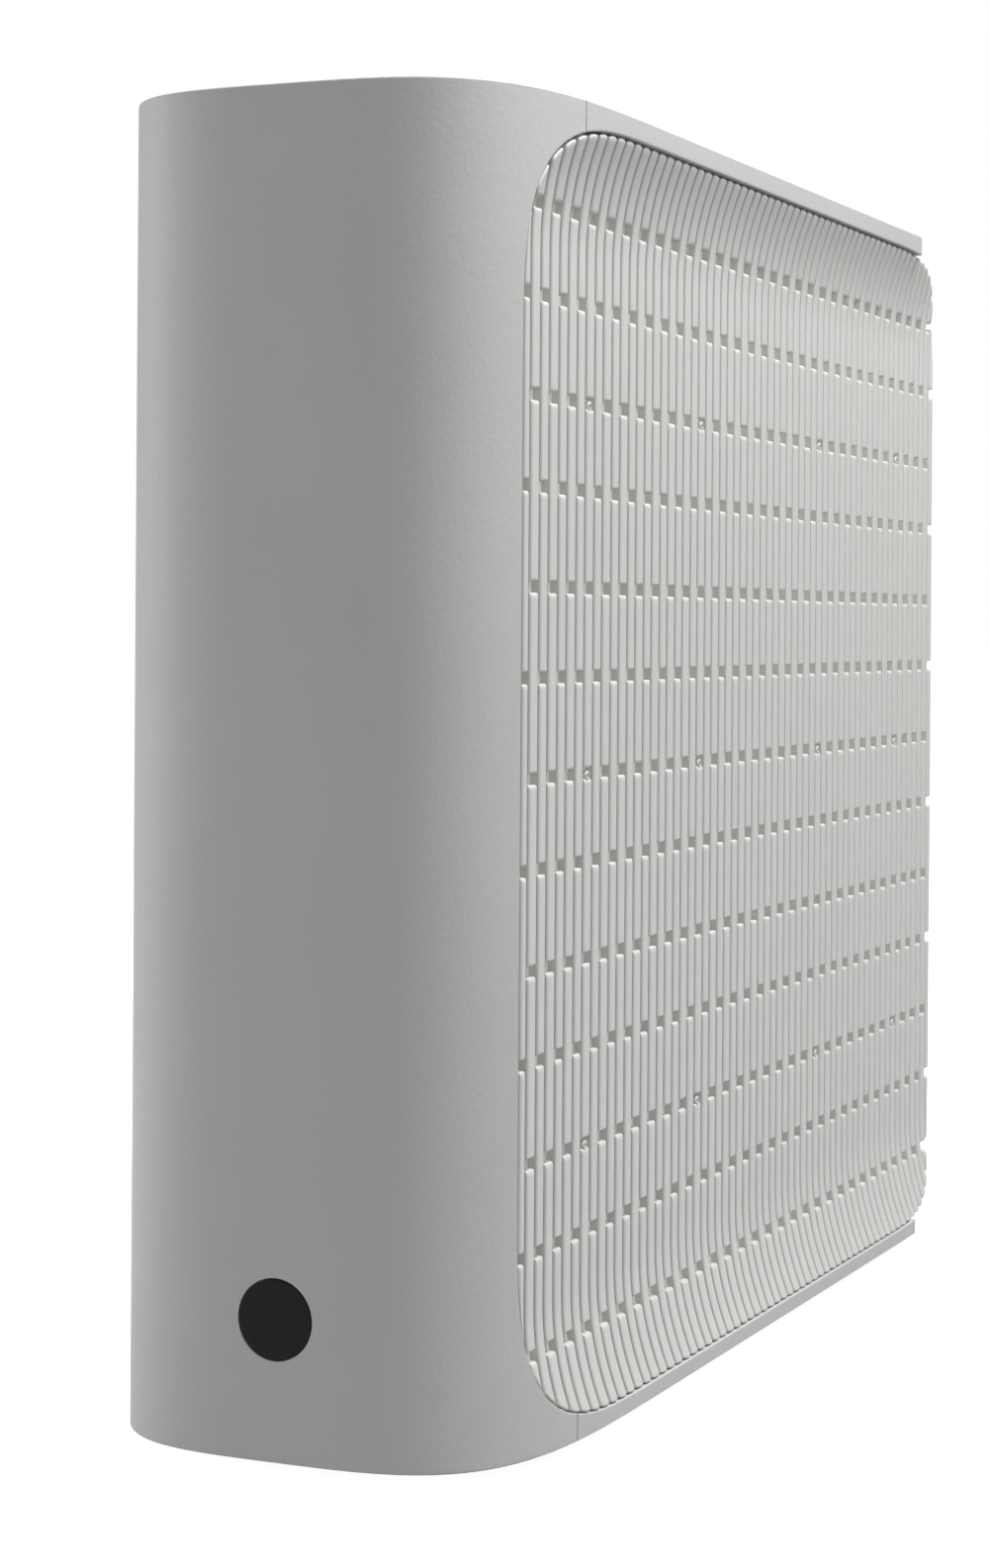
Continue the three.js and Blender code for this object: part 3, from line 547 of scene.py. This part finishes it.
def flare_at(height):
    """How far a side panel stands out at a height, beyond its flat part."""
    half = (CASE_HEIGHT - TOP_EXTRA) / 2
    beyond = np.abs(np.asarray(height, float) - half) - (half - WALL - FLARE_LENGTH)
    return FLARE_OUT * (np.clip(beyond, 0, None) / FLARE_LENGTH) ** 2


# ---------------------------------------------------------------- front cover


def front_cover_levels():
    """(height, inset, tilt) of the front cover's levels, from the bottom up."""
    tilts = np.radians([90, 67.5, 45, 22.5, 0])
    rim = [(RIM - RIM * math.sin(t), RIM - RIM * math.cos(t), -t) for t in tilts]
    meeting = WALL + float(corner_inset(SEAM - OPENING_FRONT, CORNER_ALONG, CORNER_UP))
    turns = np.linspace(math.pi / 2, 0, 30)
    corner = WALL + CORNER_UP * (1 - np.sin(turns) ** (2 / CORNER_POWER))
    heights = [1.5, WALL, meeting] + [h for h in corner if h > meeting + 0.1]
    heights += list(np.linspace(heights[-1], CASE_HEIGHT / 2, 8)[1:])
    lower = rim + [(height, 0.0, 0.0) for height in heights]
    upper = []
    for height, inset, tilt in lower[-2::-1]:
        extra = TOP_EXTRA if height >= WALL else 0.0
        upper.append((CASE_HEIGHT - height - extra, inset, -tilt))
    return lower + upper


def front_cover_edge(height):
    """Depth at which the front cover ends at a height: at the opening, or at the seam."""
    if WALL < height < CASE_HEIGHT - TOP_EXTRA - WALL:
        return min(SEAM, opening_front_at(height))
    return SEAM


def fillet(corner, radius, first, second, steps=4):
    """Points round an edge, from the face with the first normal to the one with the second."""
    middle = corner - radius * (first + second) / (1 + first @ second)
    angle = math.acos(float(np.clip(first @ second, -1, 1)))
    points = []
    for step in range(steps + 1):
        share = step / steps
        blend = math.sin((1 - share) * angle) * first + math.sin(share * angle) * second
        points.append(middle + radius * blend / math.sin(angle))
    return points


def front_cover_shape():
    """The front cover as a closed wall, level by level, each a line round its outside and in."""
    columns = NOSE_POINTS
    levels = front_cover_levels()
    edges = np.array([front_cover_edge(height) for height, _, _ in levels])
    heights = np.array([height for height, _, _ in levels])
    rows = []
    for level, (height, inset, tilt) in enumerate(levels):
        x, y, flat = nose_curve(edges[level], columns)
        skin = np.stack([x - inset * flat[:, 0], y - inset * flat[:, 1]], 1)
        skin = np.concatenate([skin, np.full((columns, 1), height)], 1)
        skin[-1, 1] = edges[level]
        outward = np.array([*(flat[-1] * math.cos(tilt)), math.sin(tilt)])
        before, after = max(level - 1, 0), min(level + 1, len(levels) - 1)
        run = edges[after] - edges[before]
        rise = heights[after] - heights[before]
        rim = np.array([0, rise, -run]) / math.hypot(rise, run)
        radius = SEAM_EDGE if edges[level] > SEAM - 0.01 else LIP
        arc = fillet(skin[-1], radius, outward, rim)
        x, y, _ = nose_curve(edges[level], columns, WALL)
        inner_height = np.full(columns, np.clip(height, WALL, CASE_HEIGHT - WALL - TOP_EXTRA))
        inner = np.stack([x, y, inner_height], 1)
        right = np.concatenate([skin[:-1], arc, inner[::-1]])
        left = right[-2:0:-1] * [-1, 1, 1]
        rows.append(np.concatenate([right, left]))
    around = len(rows[0])
    faces = ring_faces(len(rows), around, capped=False)
    last = around // 2
    for start in (0, (len(rows) - 1) * around):
        for step in range(last):
            left, next_left = start + (around - step) % around, start + around - step - 1
            faces.append((start + step, start + step + 1, next_left, left))
    return np.concatenate(rows), faces


def front_cover():
    radius = MARK_RADIUS + POCKET_CLEARANCE
    profile = [(radius, -1), (radius, MARK_THICKNESS + CLEARANCE)]
    pocket = turned(profile, (0, 0, MARK_HEIGHT), BACK, SIDES_LARGE)
    mesh = carved(new_mesh("front_cover_shell", [front_cover_shape()]), [pocket])
    add_piece("front_cover_shell", mesh, "cover_plastic", ["front_cover"])


def front_mark():
    rim = [(MARK_RADIUS - inward, down) for inward, down in round_edge(MARK_EDGE)]
    profile = [(0, MARK_THICKNESS), (MARK_RADIUS, MARK_THICKNESS)] + rim + [(0, 0)]
    mesh = new_mesh("front_mark_disc", [turned(profile, (0, 0, MARK_HEIGHT), BACK, SIDES_LARGE)])
    add_piece("front_mark_disc", mesh, "mark_plastic", ["front_mark"])


# ---------------------------------------------------------------- top and base covers


def cover_section(depth, extra, shrink=0.0):
    """A cover's outline from the front, at a depth, as (x, z) points from its outer face in."""
    side = float(half_width_at(depth)) - shrink
    edge = float(opening_low_at(depth)) + extra - shrink
    floor = WALL - shrink
    rim = [(side - inward, shrink + down) for inward, down in round_edge(RIM)[::-1]]
    lip = [(side - inward, edge - down) for inward, down in round_edge(STRIP_LIP)]
    inner = [(side - WALL, edge), (side - WALL - COVER_STEP, floor), (side / 2, floor), (0, floor)]
    half = [(0, shrink), (side / 2, shrink)] + rim + lip + inner
    return half + [(-x, z) for x, z in half[-2:0:-1]]


def cover_shape(upside_down):
    start, end = SEAM + SEAM_GAP, COVER_END
    extra = TOP_EXTRA if upside_down else 0.0
    front = start + SEAM_EDGE + COVER_FRONT_RUN * np.linspace(0, 1, 24) ** COVER_CROWDING
    rear = end - SEAM_EDGE - COVER_REAR_RUN * np.linspace(1, 0, 14) ** COVER_CROWDING
    depths = np.concatenate([front, np.linspace(front[-1], rear[0], 12)[1:-1], rear])
    stations = [(start, cover_section(depths[0], extra, SEAM_EDGE))]
    stations += [(depth, cover_section(depth, extra)) for depth in depths]
    stations += [(end, cover_section(depths[-1], extra, SEAM_EDGE))]
    points = [(x, depth, z) for depth, section in stations for x, z in section]
    if upside_down:
        points = [(x, depth, CASE_HEIGHT - z) for x, depth, z in points]
    return points, ring_faces(len(stations), len(stations[0][1]))


def top_cover():
    mesh = new_mesh("top_cover_shell", [cover_shape(upside_down=True)])
    add_piece("top_cover_shell", mesh, "cover_plastic", ["top_cover"])


def slot_outline(middle, half_length, along_first):
    """A slot with round ends, VENT_WIDTH wide."""
    half = VENT_WIDTH / 2
    reach = (half_length, half) if along_first else (half, half_length)
    lows = (middle[0] - reach[0], middle[1] - reach[1])
    highs = (middle[0] + reach[0], middle[1] + reach[1])
    return rounded_rectangle(lows, highs, half - 0.01)


def stepped_hole(place, recess, axis, side):
    """The hole for a screw: its shank's, and a recess for its head; side is which way it faces."""
    shank = SCREW_SHANK + CLEARANCE
    head = SCREW_HEAD + CLEARANCE
    far, step = -SCREW_HOLE_DEPTH * side, -recess * side
    profile = [(shank, far), (shank, step), (head, step), (head, side)]
    return turned(profile, place, axis, SIDES_SMALL)


def base_cover():
    cutters = []
    for x, y in FOOT_PLACES:
        radius = FOOT_RADIUS + POCKET_CLEARANCE
        pocket = [(radius, -1), (radius, FOOT_POCKET)]
        cutters.append(turned(pocket, (x, y, 0), UP))
    for x, y in BASE_SCREW_PLACES:
        cutters.append(stepped_hole((x, y, 0), BASE_SCREW_RECESS, UP, -1))
    half_length = (BASE_VENT_REACH[1] - BASE_VENT_REACH[0]) / 2
    for vent in range(BASE_VENTS):
        x = (vent - (BASE_VENTS - 1) / 2) * BASE_VENT_PITCH
        middle = (x, sum(BASE_VENT_REACH) / 2)
        cutters.append(prism(slot_outline(middle, half_length, False), [(-1, 0), (5, 0)], UP))
    mesh = carved(new_mesh("base_cover_shell", [cover_shape(upside_down=False)]), cutters)
    add_piece("base_cover_shell", mesh, "cover_plastic", ["base_cover"])


def feet():
    for index, (x, y) in enumerate(FOOT_PLACES, 1):
        rim = [(FOOT_RADIUS - inward, down - FOOT_HEIGHT) for inward, down in round_edge(FOOT_EDGE)]
        dish = FOOT_DISH - FOOT_HEIGHT
        groove = [(4.2, -FOOT_HEIGHT), (4.0, dish), (0, dish)]
        top = FOOT_POCKET - CLEARANCE
        profile = [(0, top), (FOOT_RADIUS, top)] + rim + groove
        mesh = new_mesh(f"foot_{index}_pad", [turned(profile, (x, y, 0), UP)])
        add_piece(f"foot_{index}_pad", mesh, "foot_rubber", [f"foot_{index}"])


# ---------------------------------------------------------------- side panels


def panel_sheet(side):
    """The panel behind its ribs: a closed sheet, flared at the top and bottom."""
    turns = np.linspace(0, math.pi / 2, 22)
    along = (CORNER_ALONG - PANEL_GAP) * (1 - np.cos(turns) ** (2 / CORNER_POWER))
    front = OPENING_FRONT + PANEL_GAP + along
    rear = OPENING_REAR - PANEL_GAP - along[::-1]
    depths = np.concatenate([front, np.linspace(front[-1], rear[0], 12)[1:-1], rear])
    ease = np.concatenate([np.linspace(0, 0.11, 16), [0.3, 0.5, 0.7], np.linspace(0.89, 1, 16)])
    low = opening_low_at(depths, PANEL_GAP)
    span = CASE_HEIGHT - TOP_EXTRA - 2 * low
    height = low[:, None] + span[:, None] * ease - PANEL_DROP
    depth = np.repeat(depths[:, None], len(ease), 1)
    layers, faces = [], []
    for layer, face in enumerate((PANEL_FACE - RIB_HEIGHT, PANEL_FACE - PANEL_THICKNESS)):
        x = side * (face + flare_at(height))
        layers.append(np.stack([x, depth, height], 2).reshape(-1, 3))
        faces += grid_faces(*height.shape, layer * height.size)
    index = np.arange(height.size).reshape(height.shape)
    border = np.concatenate([index[0, :-1], index[:-1, -1], index[-1, :0:-1], index[:0:-1, 0]])
    for a, b in zip(border.tolist(), np.roll(border, -1).tolist()):
        faces.append((a, b, b + height.size, a + height.size))
    return np.concatenate(layers), faces


def rib_gaps(rib):
    """Heights of the middles of one rib's gaps, from the lowest up."""
    steps = range(-3, 4) if rib % 2 else np.arange(-2.5, 3)
    shift = -GAP_SHIFT if rib % 2 else GAP_SHIFT
    return [GAP_MIDDLE + shift + step * GAP_STEP for step in steps]


def rib_segment(side, left, right, low, high):
    """One stretch of rib, a closed bar; low and high are functions of depth.

    Its grid of points is laid over the crest, the rounded edges and the hidden roots: lift is
    the height of each row or column above the sheet, and the lower of the two counts.
    """
    turns = np.radians([0, 30, 60, 90])
    inward = np.concatenate([[0], 1 - np.cos(turns)])
    lift = np.concatenate([[-RIB_ROOT], RIB_HEIGHT - RIB_EDGE * (1 - np.sin(turns))])
    squeeze = min(1.0, (right - left) / (2 * RIB_EDGE + RIB_CREST))
    across = RIB_EDGE * squeeze * inward
    depth = np.concatenate([left + across, [(left + right) / 2], right - across[::-1]])
    lift_across = np.concatenate([lift, [RIB_HEIGHT], lift[::-1]])
    start, end = low(depth), high(depth)
    flared = max(flare_at(start.min()), flare_at(end.max())) > 0
    shares = np.linspace(0, 1, 14 if flared else 3)[1:-1]
    first, last = start + RIB_EDGE, end - RIB_SHOULDER
    rows = [start + step * RIB_EDGE for step in inward]
    rows += [first + (last - first) * share for share in shares]
    rows += [end - step * RIB_SHOULDER for step in inward[::-1]]
    height = np.array(rows)
    lift_along = np.concatenate([lift, np.full(len(shares), RIB_HEIGHT), lift[::-1]])
    raised = np.minimum(lift_along[:, None], lift_across[None, :])
    x = side * (PANEL_FACE - RIB_HEIGHT + flare_at(height) + raised)
    points = np.stack([x, np.broadcast_to(depth, height.shape), height], 2)
    count, columns = height.shape
    index = np.arange(height.size).reshape(count, columns)
    faces = grid_faces(count, columns)
    faces.append((*index[0].tolist(), int(index[1, -1]), int(index[1, 0])))
    faces.append((*index[-1].tolist(), int(index[-2, -1]), int(index[-2, 0])))
    for row in range(1, count - 2):
        a, b = index[row], index[row + 1]
        faces.append((int(a[0]), int(a[-1]), int(b[-1]), int(b[0])))
    return points.reshape(-1, 3), faces


def rib_tip_at(depth, middle):
    """Height of the lower tip of the rib round a middle, at a depth; upper tips mirror it."""
    from_middle = np.clip(np.abs(2 * (depth - middle) / RIB_WIDTH), 0, 1)
    rounding = RIB_TIP_ROUNDING * (1 - np.sqrt(1 - from_middle**2))
    return opening_low_at(depth, PANEL_GAP) + RIB_TIP_GAP + rounding


def rib_ends(rib, middle):
    """Pairs of functions of depth: where each stretch of one rib starts and ends in height."""
    gaps = rib_gaps(rib)
    lows = [lambda depth: rib_tip_at(depth, middle) - PANEL_DROP]
    lows += [lambda depth, z=gap: np.full_like(depth, z + GAP_HEIGHT / 2) for gap in gaps]
    highs = [lambda depth, z=gap: np.full_like(depth, z - GAP_HEIGHT / 2) for gap in gaps]
    top = CASE_HEIGHT - TOP_EXTRA - PANEL_DROP
    highs.append(lambda depth: top - rib_tip_at(depth, middle))
    return list(zip(lows, highs))


def panel_ribs(side):
    """Every stretch of every rib; one that meets the opening's corner is trimmed to fit it."""
    front = OPENING_FRONT + PANEL_GAP + RIB_SIDE_GAP
    rear = OPENING_REAR - PANEL_GAP - RIB_SIDE_GAP
    shapes = []
    for rib in range(RIB_COUNT):
        middle = FIRST_RIB + rib * RIB_PITCH
        width = RIB_WIDTH + (RIB_ALTERNATION if rib % 2 else -RIB_ALTERNATION)
        left = max(middle - width / 2, front)
        right = min(middle + width / 2, rear)
        places = np.linspace(left, right, 25)
        for low, high in rib_ends(rib, middle):
            fits = places[high(places) - low(places) > SHORTEST_RIB]
            if len(fits) > 5:
                shapes.append(rib_segment(side, fits[0], fits[-1], low, high))
    return shapes


def panel_pips(side):
    """Small hollow pips that stand in some of the gaps."""
    shapes = []
    for rib in PIP_RIBS:
        for gap in PIP_GAPS:
            base = side * (PANEL_FACE - RIB_HEIGHT)
            middle = (base, FIRST_RIB + rib * RIB_PITCH, rib_gaps(rib)[gap] - PIP_DROP)
            rim = [(PIP_RADIUS - i, PIP_HEIGHT - down) for i, down in round_edge(0.15)]
            bore = [(PIP_BORE, PIP_HEIGHT), (PIP_BORE, 0.3), (0, 0.3)]
            profile = [(0, -RIB_ROOT), (PIP_RADIUS, -RIB_ROOT)] + rim + bore
            shapes.append(turned(profile, middle, (side, 0, 0), SIDES_TINY))
    return shapes


def panel_catches():
    """Slots through the sheet at the ends of two grooves, for the catches behind it."""
    cutters = []
    for rib in CATCH_GROOVES:
        y = FIRST_RIB + (rib + 0.5) * RIB_PITCH
        reach = WALL + CATCH_FROM_EDGE
        for z in (reach, CASE_HEIGHT - TOP_EXTRA - reach - CATCH_LENGTH):
            lows, highs = (y - CATCH_WIDTH / 2, z), (y + CATCH_WIDTH / 2, z + CATCH_LENGTH)
            slot = rounded_rectangle(lows, highs, 0.3)
            cutters.append(prism(slot, [(-45, 0), (45, 0)], ACROSS))
    return cutters


def side_panel(side, name):
    """The sheet with its slots cut, and the ribs and pips standing on it."""
    sheet = new_mesh(f"{name}_sheet", [panel_sheet(side)], PANEL_SHARP_ANGLE)
    sheet = carved(sheet, panel_catches(), PANEL_SHARP_ANGLE)
    ribs = new_mesh(f"{name}_ribs", panel_ribs(side) + panel_pips(side), PANEL_SHARP_ANGLE)
    work = bmesh.new()
    work.from_mesh(sheet)
    work.from_mesh(ribs)
    mesh = bpy.data.meshes.new(f"{name}_ribbed")
    work.to_mesh(mesh)
    work.free()
    add_piece(f"{name}_ribbed", mesh, "panel_plastic", [name])


# ---------------------------------------------------------------- rear panel and its fittings


def rear_window(sides, middle, half):
    """A window in the rear panel with small round corners."""
    lows = (sides[0] - CLEARANCE, middle - half - CLEARANCE)
    highs = (sides[1] + CLEARANCE, middle + half + CLEARANCE)
    reach = [(PANEL_INSIDE - 1, 0), (PANEL_BACK + 1, 0)]
    return prism(rounded_rectangle(lows, highs, 0.5), reach, BACK)


def rear_hole(x, z, radius):
    """A round hole right through the rear panel."""
    profile = [(radius, PANEL_INSIDE - 1), (radius, PANEL_BACK + 1)]
    return turned(profile, (x, 0, z), BACK, SIDES_SMALL)


def rear_panel():
    lows, highs = (-REAR_HALF_WIDTH, REAR_ENDS[0]), (REAR_HALF_WIDTH, REAR_ENDS[1])
    edge = [(PANEL_INSIDE, 0.3), (PANEL_INSIDE + 0.3, 0), (PANEL_BACK - 0.4, 0)]
    edge += [(PANEL_BACK - 0.12, 0.12), (PANEL_BACK, 0.4)]
    plate = prism(rounded_rectangle(lows, highs, 1.5), edge, BACK)
    cutters = [rear_window(JACK_SIDES, height, JACK_HALF) for height in JACK_HEIGHTS]
    cutters.append(rear_window(INLET_SIDES, INLET_HEIGHT, INLET_HALF))
    for button in (POWER_BUTTON, WPS_BUTTON):
        cutters.append(rear_hole(BUTTON_MIDDLE, button["height"], button["radius"] + CLEARANCE))
    cutters.append(rear_hole(BUTTON_MIDDLE, RESET_HEIGHT, RESET_RADIUS))
    cutters.append(rear_hole(BUTTON_MIDDLE, LIGHT_HEIGHT, LIGHT_RADIUS + 0.1))
    for x, z in REAR_SCREW_PLACES:
        cutters.append(stepped_hole((x, PANEL_BACK, z), REAR_SCREW_RECESS, BACK, 1))
    half_length = (REAR_VENT_SIDES[1] - REAR_VENT_SIDES[0]) / 2
    for vent in range(REAR_VENTS):
        z = CASE_HEIGHT / 2 + (vent - (REAR_VENTS - 1) / 2) * REAR_VENT_PITCH
        outline = slot_outline((sum(REAR_VENT_SIDES) / 2, z), half_length, True)
        cutters.append(prism(outline, [(PANEL_INSIDE - 1, 0), (PANEL_BACK + 1, 0)], BACK))
    mesh = carved(new_mesh("rear_panel_plate", [plate]), cutters)
    add_piece("rear_panel_plate", mesh, "rear_plastic", ["rear_panel"], edge=0.15)


def jack_contacts():
    """Eight sprung contact wires on the floor of each network socket."""
    path = [(0.0, 2.0), (0.25, 2.9), (2.3, 9.0), (2.4, 10.2), (2.0, 11.6)]  # up, and back
    pitch, half_width, thickness = 1.02, 0.22, 0.28
    for index, height in enumerate(JACK_HEIGHTS):
        shapes = []
        for wire in range(8):
            z = height + (wire - 3.5) * pitch
            points = []
            for up, back in path:
                for side, lift in ((-1, 0), (1, 0), (1, thickness), (-1, thickness)):
                    place = (JACK_FLOOR + up + lift, JACK_FACE - back, z + side * half_width)
                    points.append(place)
            shapes.append((points, ring_faces(len(path), 4)))
        name = "wan_contacts" if index == 0 else f"lan_contacts_{index}"
        add_piece(name, new_mesh(name, shapes), "pin_brass")


def press_button(name, button):
    """A round cap with a shallow dish, its flange and its stem."""
    radius = button["radius"]
    face = PANEL_BACK + button["travel"]
    flange = PANEL_INSIDE - CLEARANCE
    stem = [(BUTTON_STEM, BUTTON_STEM_START), (BUTTON_STEM, flange - BUTTON_FLANGE)]
    wide = radius + BUTTON_FLANGE
    profile = [(0, BUTTON_STEM_START)] + stem + [(wide, flange - BUTTON_FLANGE)]
    profile += [(wide, flange), (radius, flange)]
    profile += [(radius - inward, face - down) for inward, down in round_edge(BUTTON_EDGE)]
    profile += [(radius - 0.9, face - 0.06), (radius / 2, face - 0.22), (0, face - 0.28)]
    middle = (BUTTON_MIDDLE, 0, button["height"])
    mesh = new_mesh(f"{name}_cap", [turned(profile, middle, BACK, SIDES_LARGE)], 30)
    add_piece(f"{name}_cap", mesh, "button_plastic", [name], body=name)


def status_light():
    """The clear rod that carries the status light through the rear panel."""
    rim = [(LIGHT_RADIUS - inward, JACK_FACE - down) for inward, down in round_edge(0.3)]
    profile = [(0, LIGHT_START), (LIGHT_RADIUS, LIGHT_START)] + rim + [(0, JACK_FACE)]
    rod = turned(profile, (BUTTON_MIDDLE, 0, LIGHT_HEIGHT), BACK, SIDES_SMALL)
    mesh = new_mesh("light_pipe_rod", [rod])
    add_piece("light_pipe_rod", mesh, "clear_plastic", ["status_light_pipe"])


# ---------------------------------------------------------------- screws


def screw_mesh(name, top, axis, length):
    """A pan head screw with a cross recess; its head's top is at top and faces along the axis."""
    dome = [(SCREW_HEAD, -1.0), (2.6, -0.6), (2.3, -0.28), (1.7, -0.08), (0.9, 0), (0, 0)]
    profile = [(0, -length), (0.4, -length), (SCREW_SHANK, 1 - length)]
    profile += [(SCREW_SHANK, -SCREW_HEAD_HEIGHT), (SCREW_HEAD, -SCREW_HEAD_HEIGHT)] + dome
    body = new_mesh(name, [turned(profile, top, axis)])
    depth, half_length, half_width = 0.9, 1.5, 0.32
    along = Vector(axis)
    reach = [Vector(top) - along * depth, Vector(top) + along]
    arms = []
    for half_across, half_other in ((half_length, half_width), (half_width, half_length)):
        sides = Vector(ACROSS) * half_across + Vector(UP if axis == BACK else BACK) * half_other
        lows = [min(p[i] for p in reach) - sides[i] for i in range(3)]
        highs = [max(p[i] for p in reach) + sides[i] for i in range(3)]
        arms.append(block(lows, highs))
    return carved(carved(body, arms[:1]), arms[1:], 30)


def screws():
    for index, (x, z) in enumerate(REAR_SCREW_PLACES, 1):
        name = f"rear_screw_{index}"
        top = PANEL_BACK - REAR_SCREW_RECESS + CLEARANCE + SCREW_HEAD_HEIGHT
        mesh = screw_mesh(f"{name}_pan", (x, top, z), BACK, 10)
        add_piece(f"{name}_pan", mesh, "screw_steel", [name])
    for index, (x, y) in enumerate(BASE_SCREW_PLACES, 1):
        name = f"base_screw_{index}"
        top = BASE_SCREW_RECESS - CLEARANCE - SCREW_HEAD_HEIGHT
        mesh = screw_mesh(f"{name}_pan", (x, y, top), (0, 0, -1), 9)
        add_piece(f"{name}_pan", mesh, "screw_steel", [name])


# ---------------------------------------------------------------- CAD nodes that stay


def dress_cad_nodes():
    """Gives every CAD node its finish, and softens its edges."""
    slots = {row["node"]: row["material_slot"] for row in frame["record"]["subparts"]}
    for name, node in frame["nodes"].items():
        node.data.materials.clear()
        node.data.materials.append(FINISHES[slots[name]])
        weld = node.modifiers.new("weld", "WELD")
        weld.merge_threshold = WELD * MM
        soften(node, NODE_EDGE)


# ---------------------------------------------------------------- floor, light and camera


def floor_material():
    """White paper on a light table, with a faint tooth."""
    material = plastic("floor_paper", (0.85, 0.85, 0.85), 0.7, 3, 0.03, mottle=0.004)
    shader = material.node_tree.nodes["Principled BSDF"]
    shader.inputs["Emission Color"].default_value = (1, 1, 1, 1)
    shader.inputs["Emission Strength"].default_value = FLOOR_GLOW
    return material


def stage_floor():
    half = FLOOR_REACH
    mesh = bpy.data.meshes.new("floor")
    corners = [(-half, -half, 0), (half, -half, 0), (half, half, 0), (-half, half, 0)]
    mesh.from_pydata(corners, [], [(0, 1, 2, 3)])
    mesh.materials.append(floor_material())
    floor = bpy.data.objects.new("floor", mesh)
    bpy.context.scene.collection.objects.link(floor)
    floor.visible_diffuse = False  # the lamps light the object, not the floor


def area_light(name, place, size, power):
    """A rectangular lamp that faces LAMP_TARGET."""
    lamp_data = bpy.data.lights.new(name, "AREA")
    lamp_data.shape = "RECTANGLE"
    lamp_data.size, lamp_data.size_y = size
    lamp_data.energy = power
    lamp = bpy.data.objects.new(name, lamp_data)
    lamp.location = place
    aim = Vector(LAMP_TARGET) - Vector(place)
    lamp.rotation_euler = aim.to_track_quat("-Z", "Y").to_euler()
    bpy.context.scene.collection.objects.link(lamp)


def studio_world():
    """A white room: white where the camera sees it, dimmer as a light."""
    world = bpy.data.worlds.new("studio")
    world.use_nodes = True
    nodes, links = world.node_tree.nodes, world.node_tree.links
    ray = nodes.new("ShaderNodeLightPath")
    strength = nodes.new("ShaderNodeMapRange")
    strength.inputs["To Min"].default_value = ROOM_LIGHT
    strength.inputs["To Max"].default_value = 1.0
    links.new(ray.outputs["Is Camera Ray"], strength.inputs["Value"])
    links.new(strength.outputs["Result"], nodes["Background"].inputs["Strength"])
    nodes["Background"].inputs["Color"].default_value = (1, 1, 1, 1)
    bpy.context.scene.world = world


def studio_light():
    """One small key lamp high on the right, and three large soft ones round the case."""
    studio_world()
    for name, (place, size, power) in LAMPS.items():
        area_light(name, place, size, power)


def photo_camera():
    """A level camera in front and to the right, its lens shifted down as the picture is framed."""
    camera = bpy.data.cameras.new("camera")
    camera.lens = CAMERA_LENS
    camera.sensor_width = 36
    camera.shift_y = CAMERA_SHIFT
    camera.clip_start = 0.01
    holder = bpy.data.objects.new("camera", camera)
    place = Vector(CAMERA_PLACE) * (CASE_HEIGHT * MM)
    holder.location = place + Vector((0, COVER_LOW.y, COVER_LOW.z))
    turn = Vector(CAMERA_FACING).to_track_quat("-Z", "Y").to_euler()
    turn.rotate_axis("Z", CAMERA_ROLL)
    holder.rotation_euler = turn
    bpy.context.scene.collection.objects.link(holder)
    bpy.context.scene.camera = holder


photo_camera()
studio_light()
stage_floor()
dress_cad_nodes()
front_cover()
front_mark()
top_cover()
base_cover()
feet()
side_panel(1, "right_side_panel")
side_panel(-1, "left_side_panel")
rear_panel()
jack_contacts()
press_button("power_button", POWER_BUTTON)
press_button("wps_button", WPS_BUTTON)
status_light()
screws()

bpy.context.scene.view_settings.view_transform = "Standard"
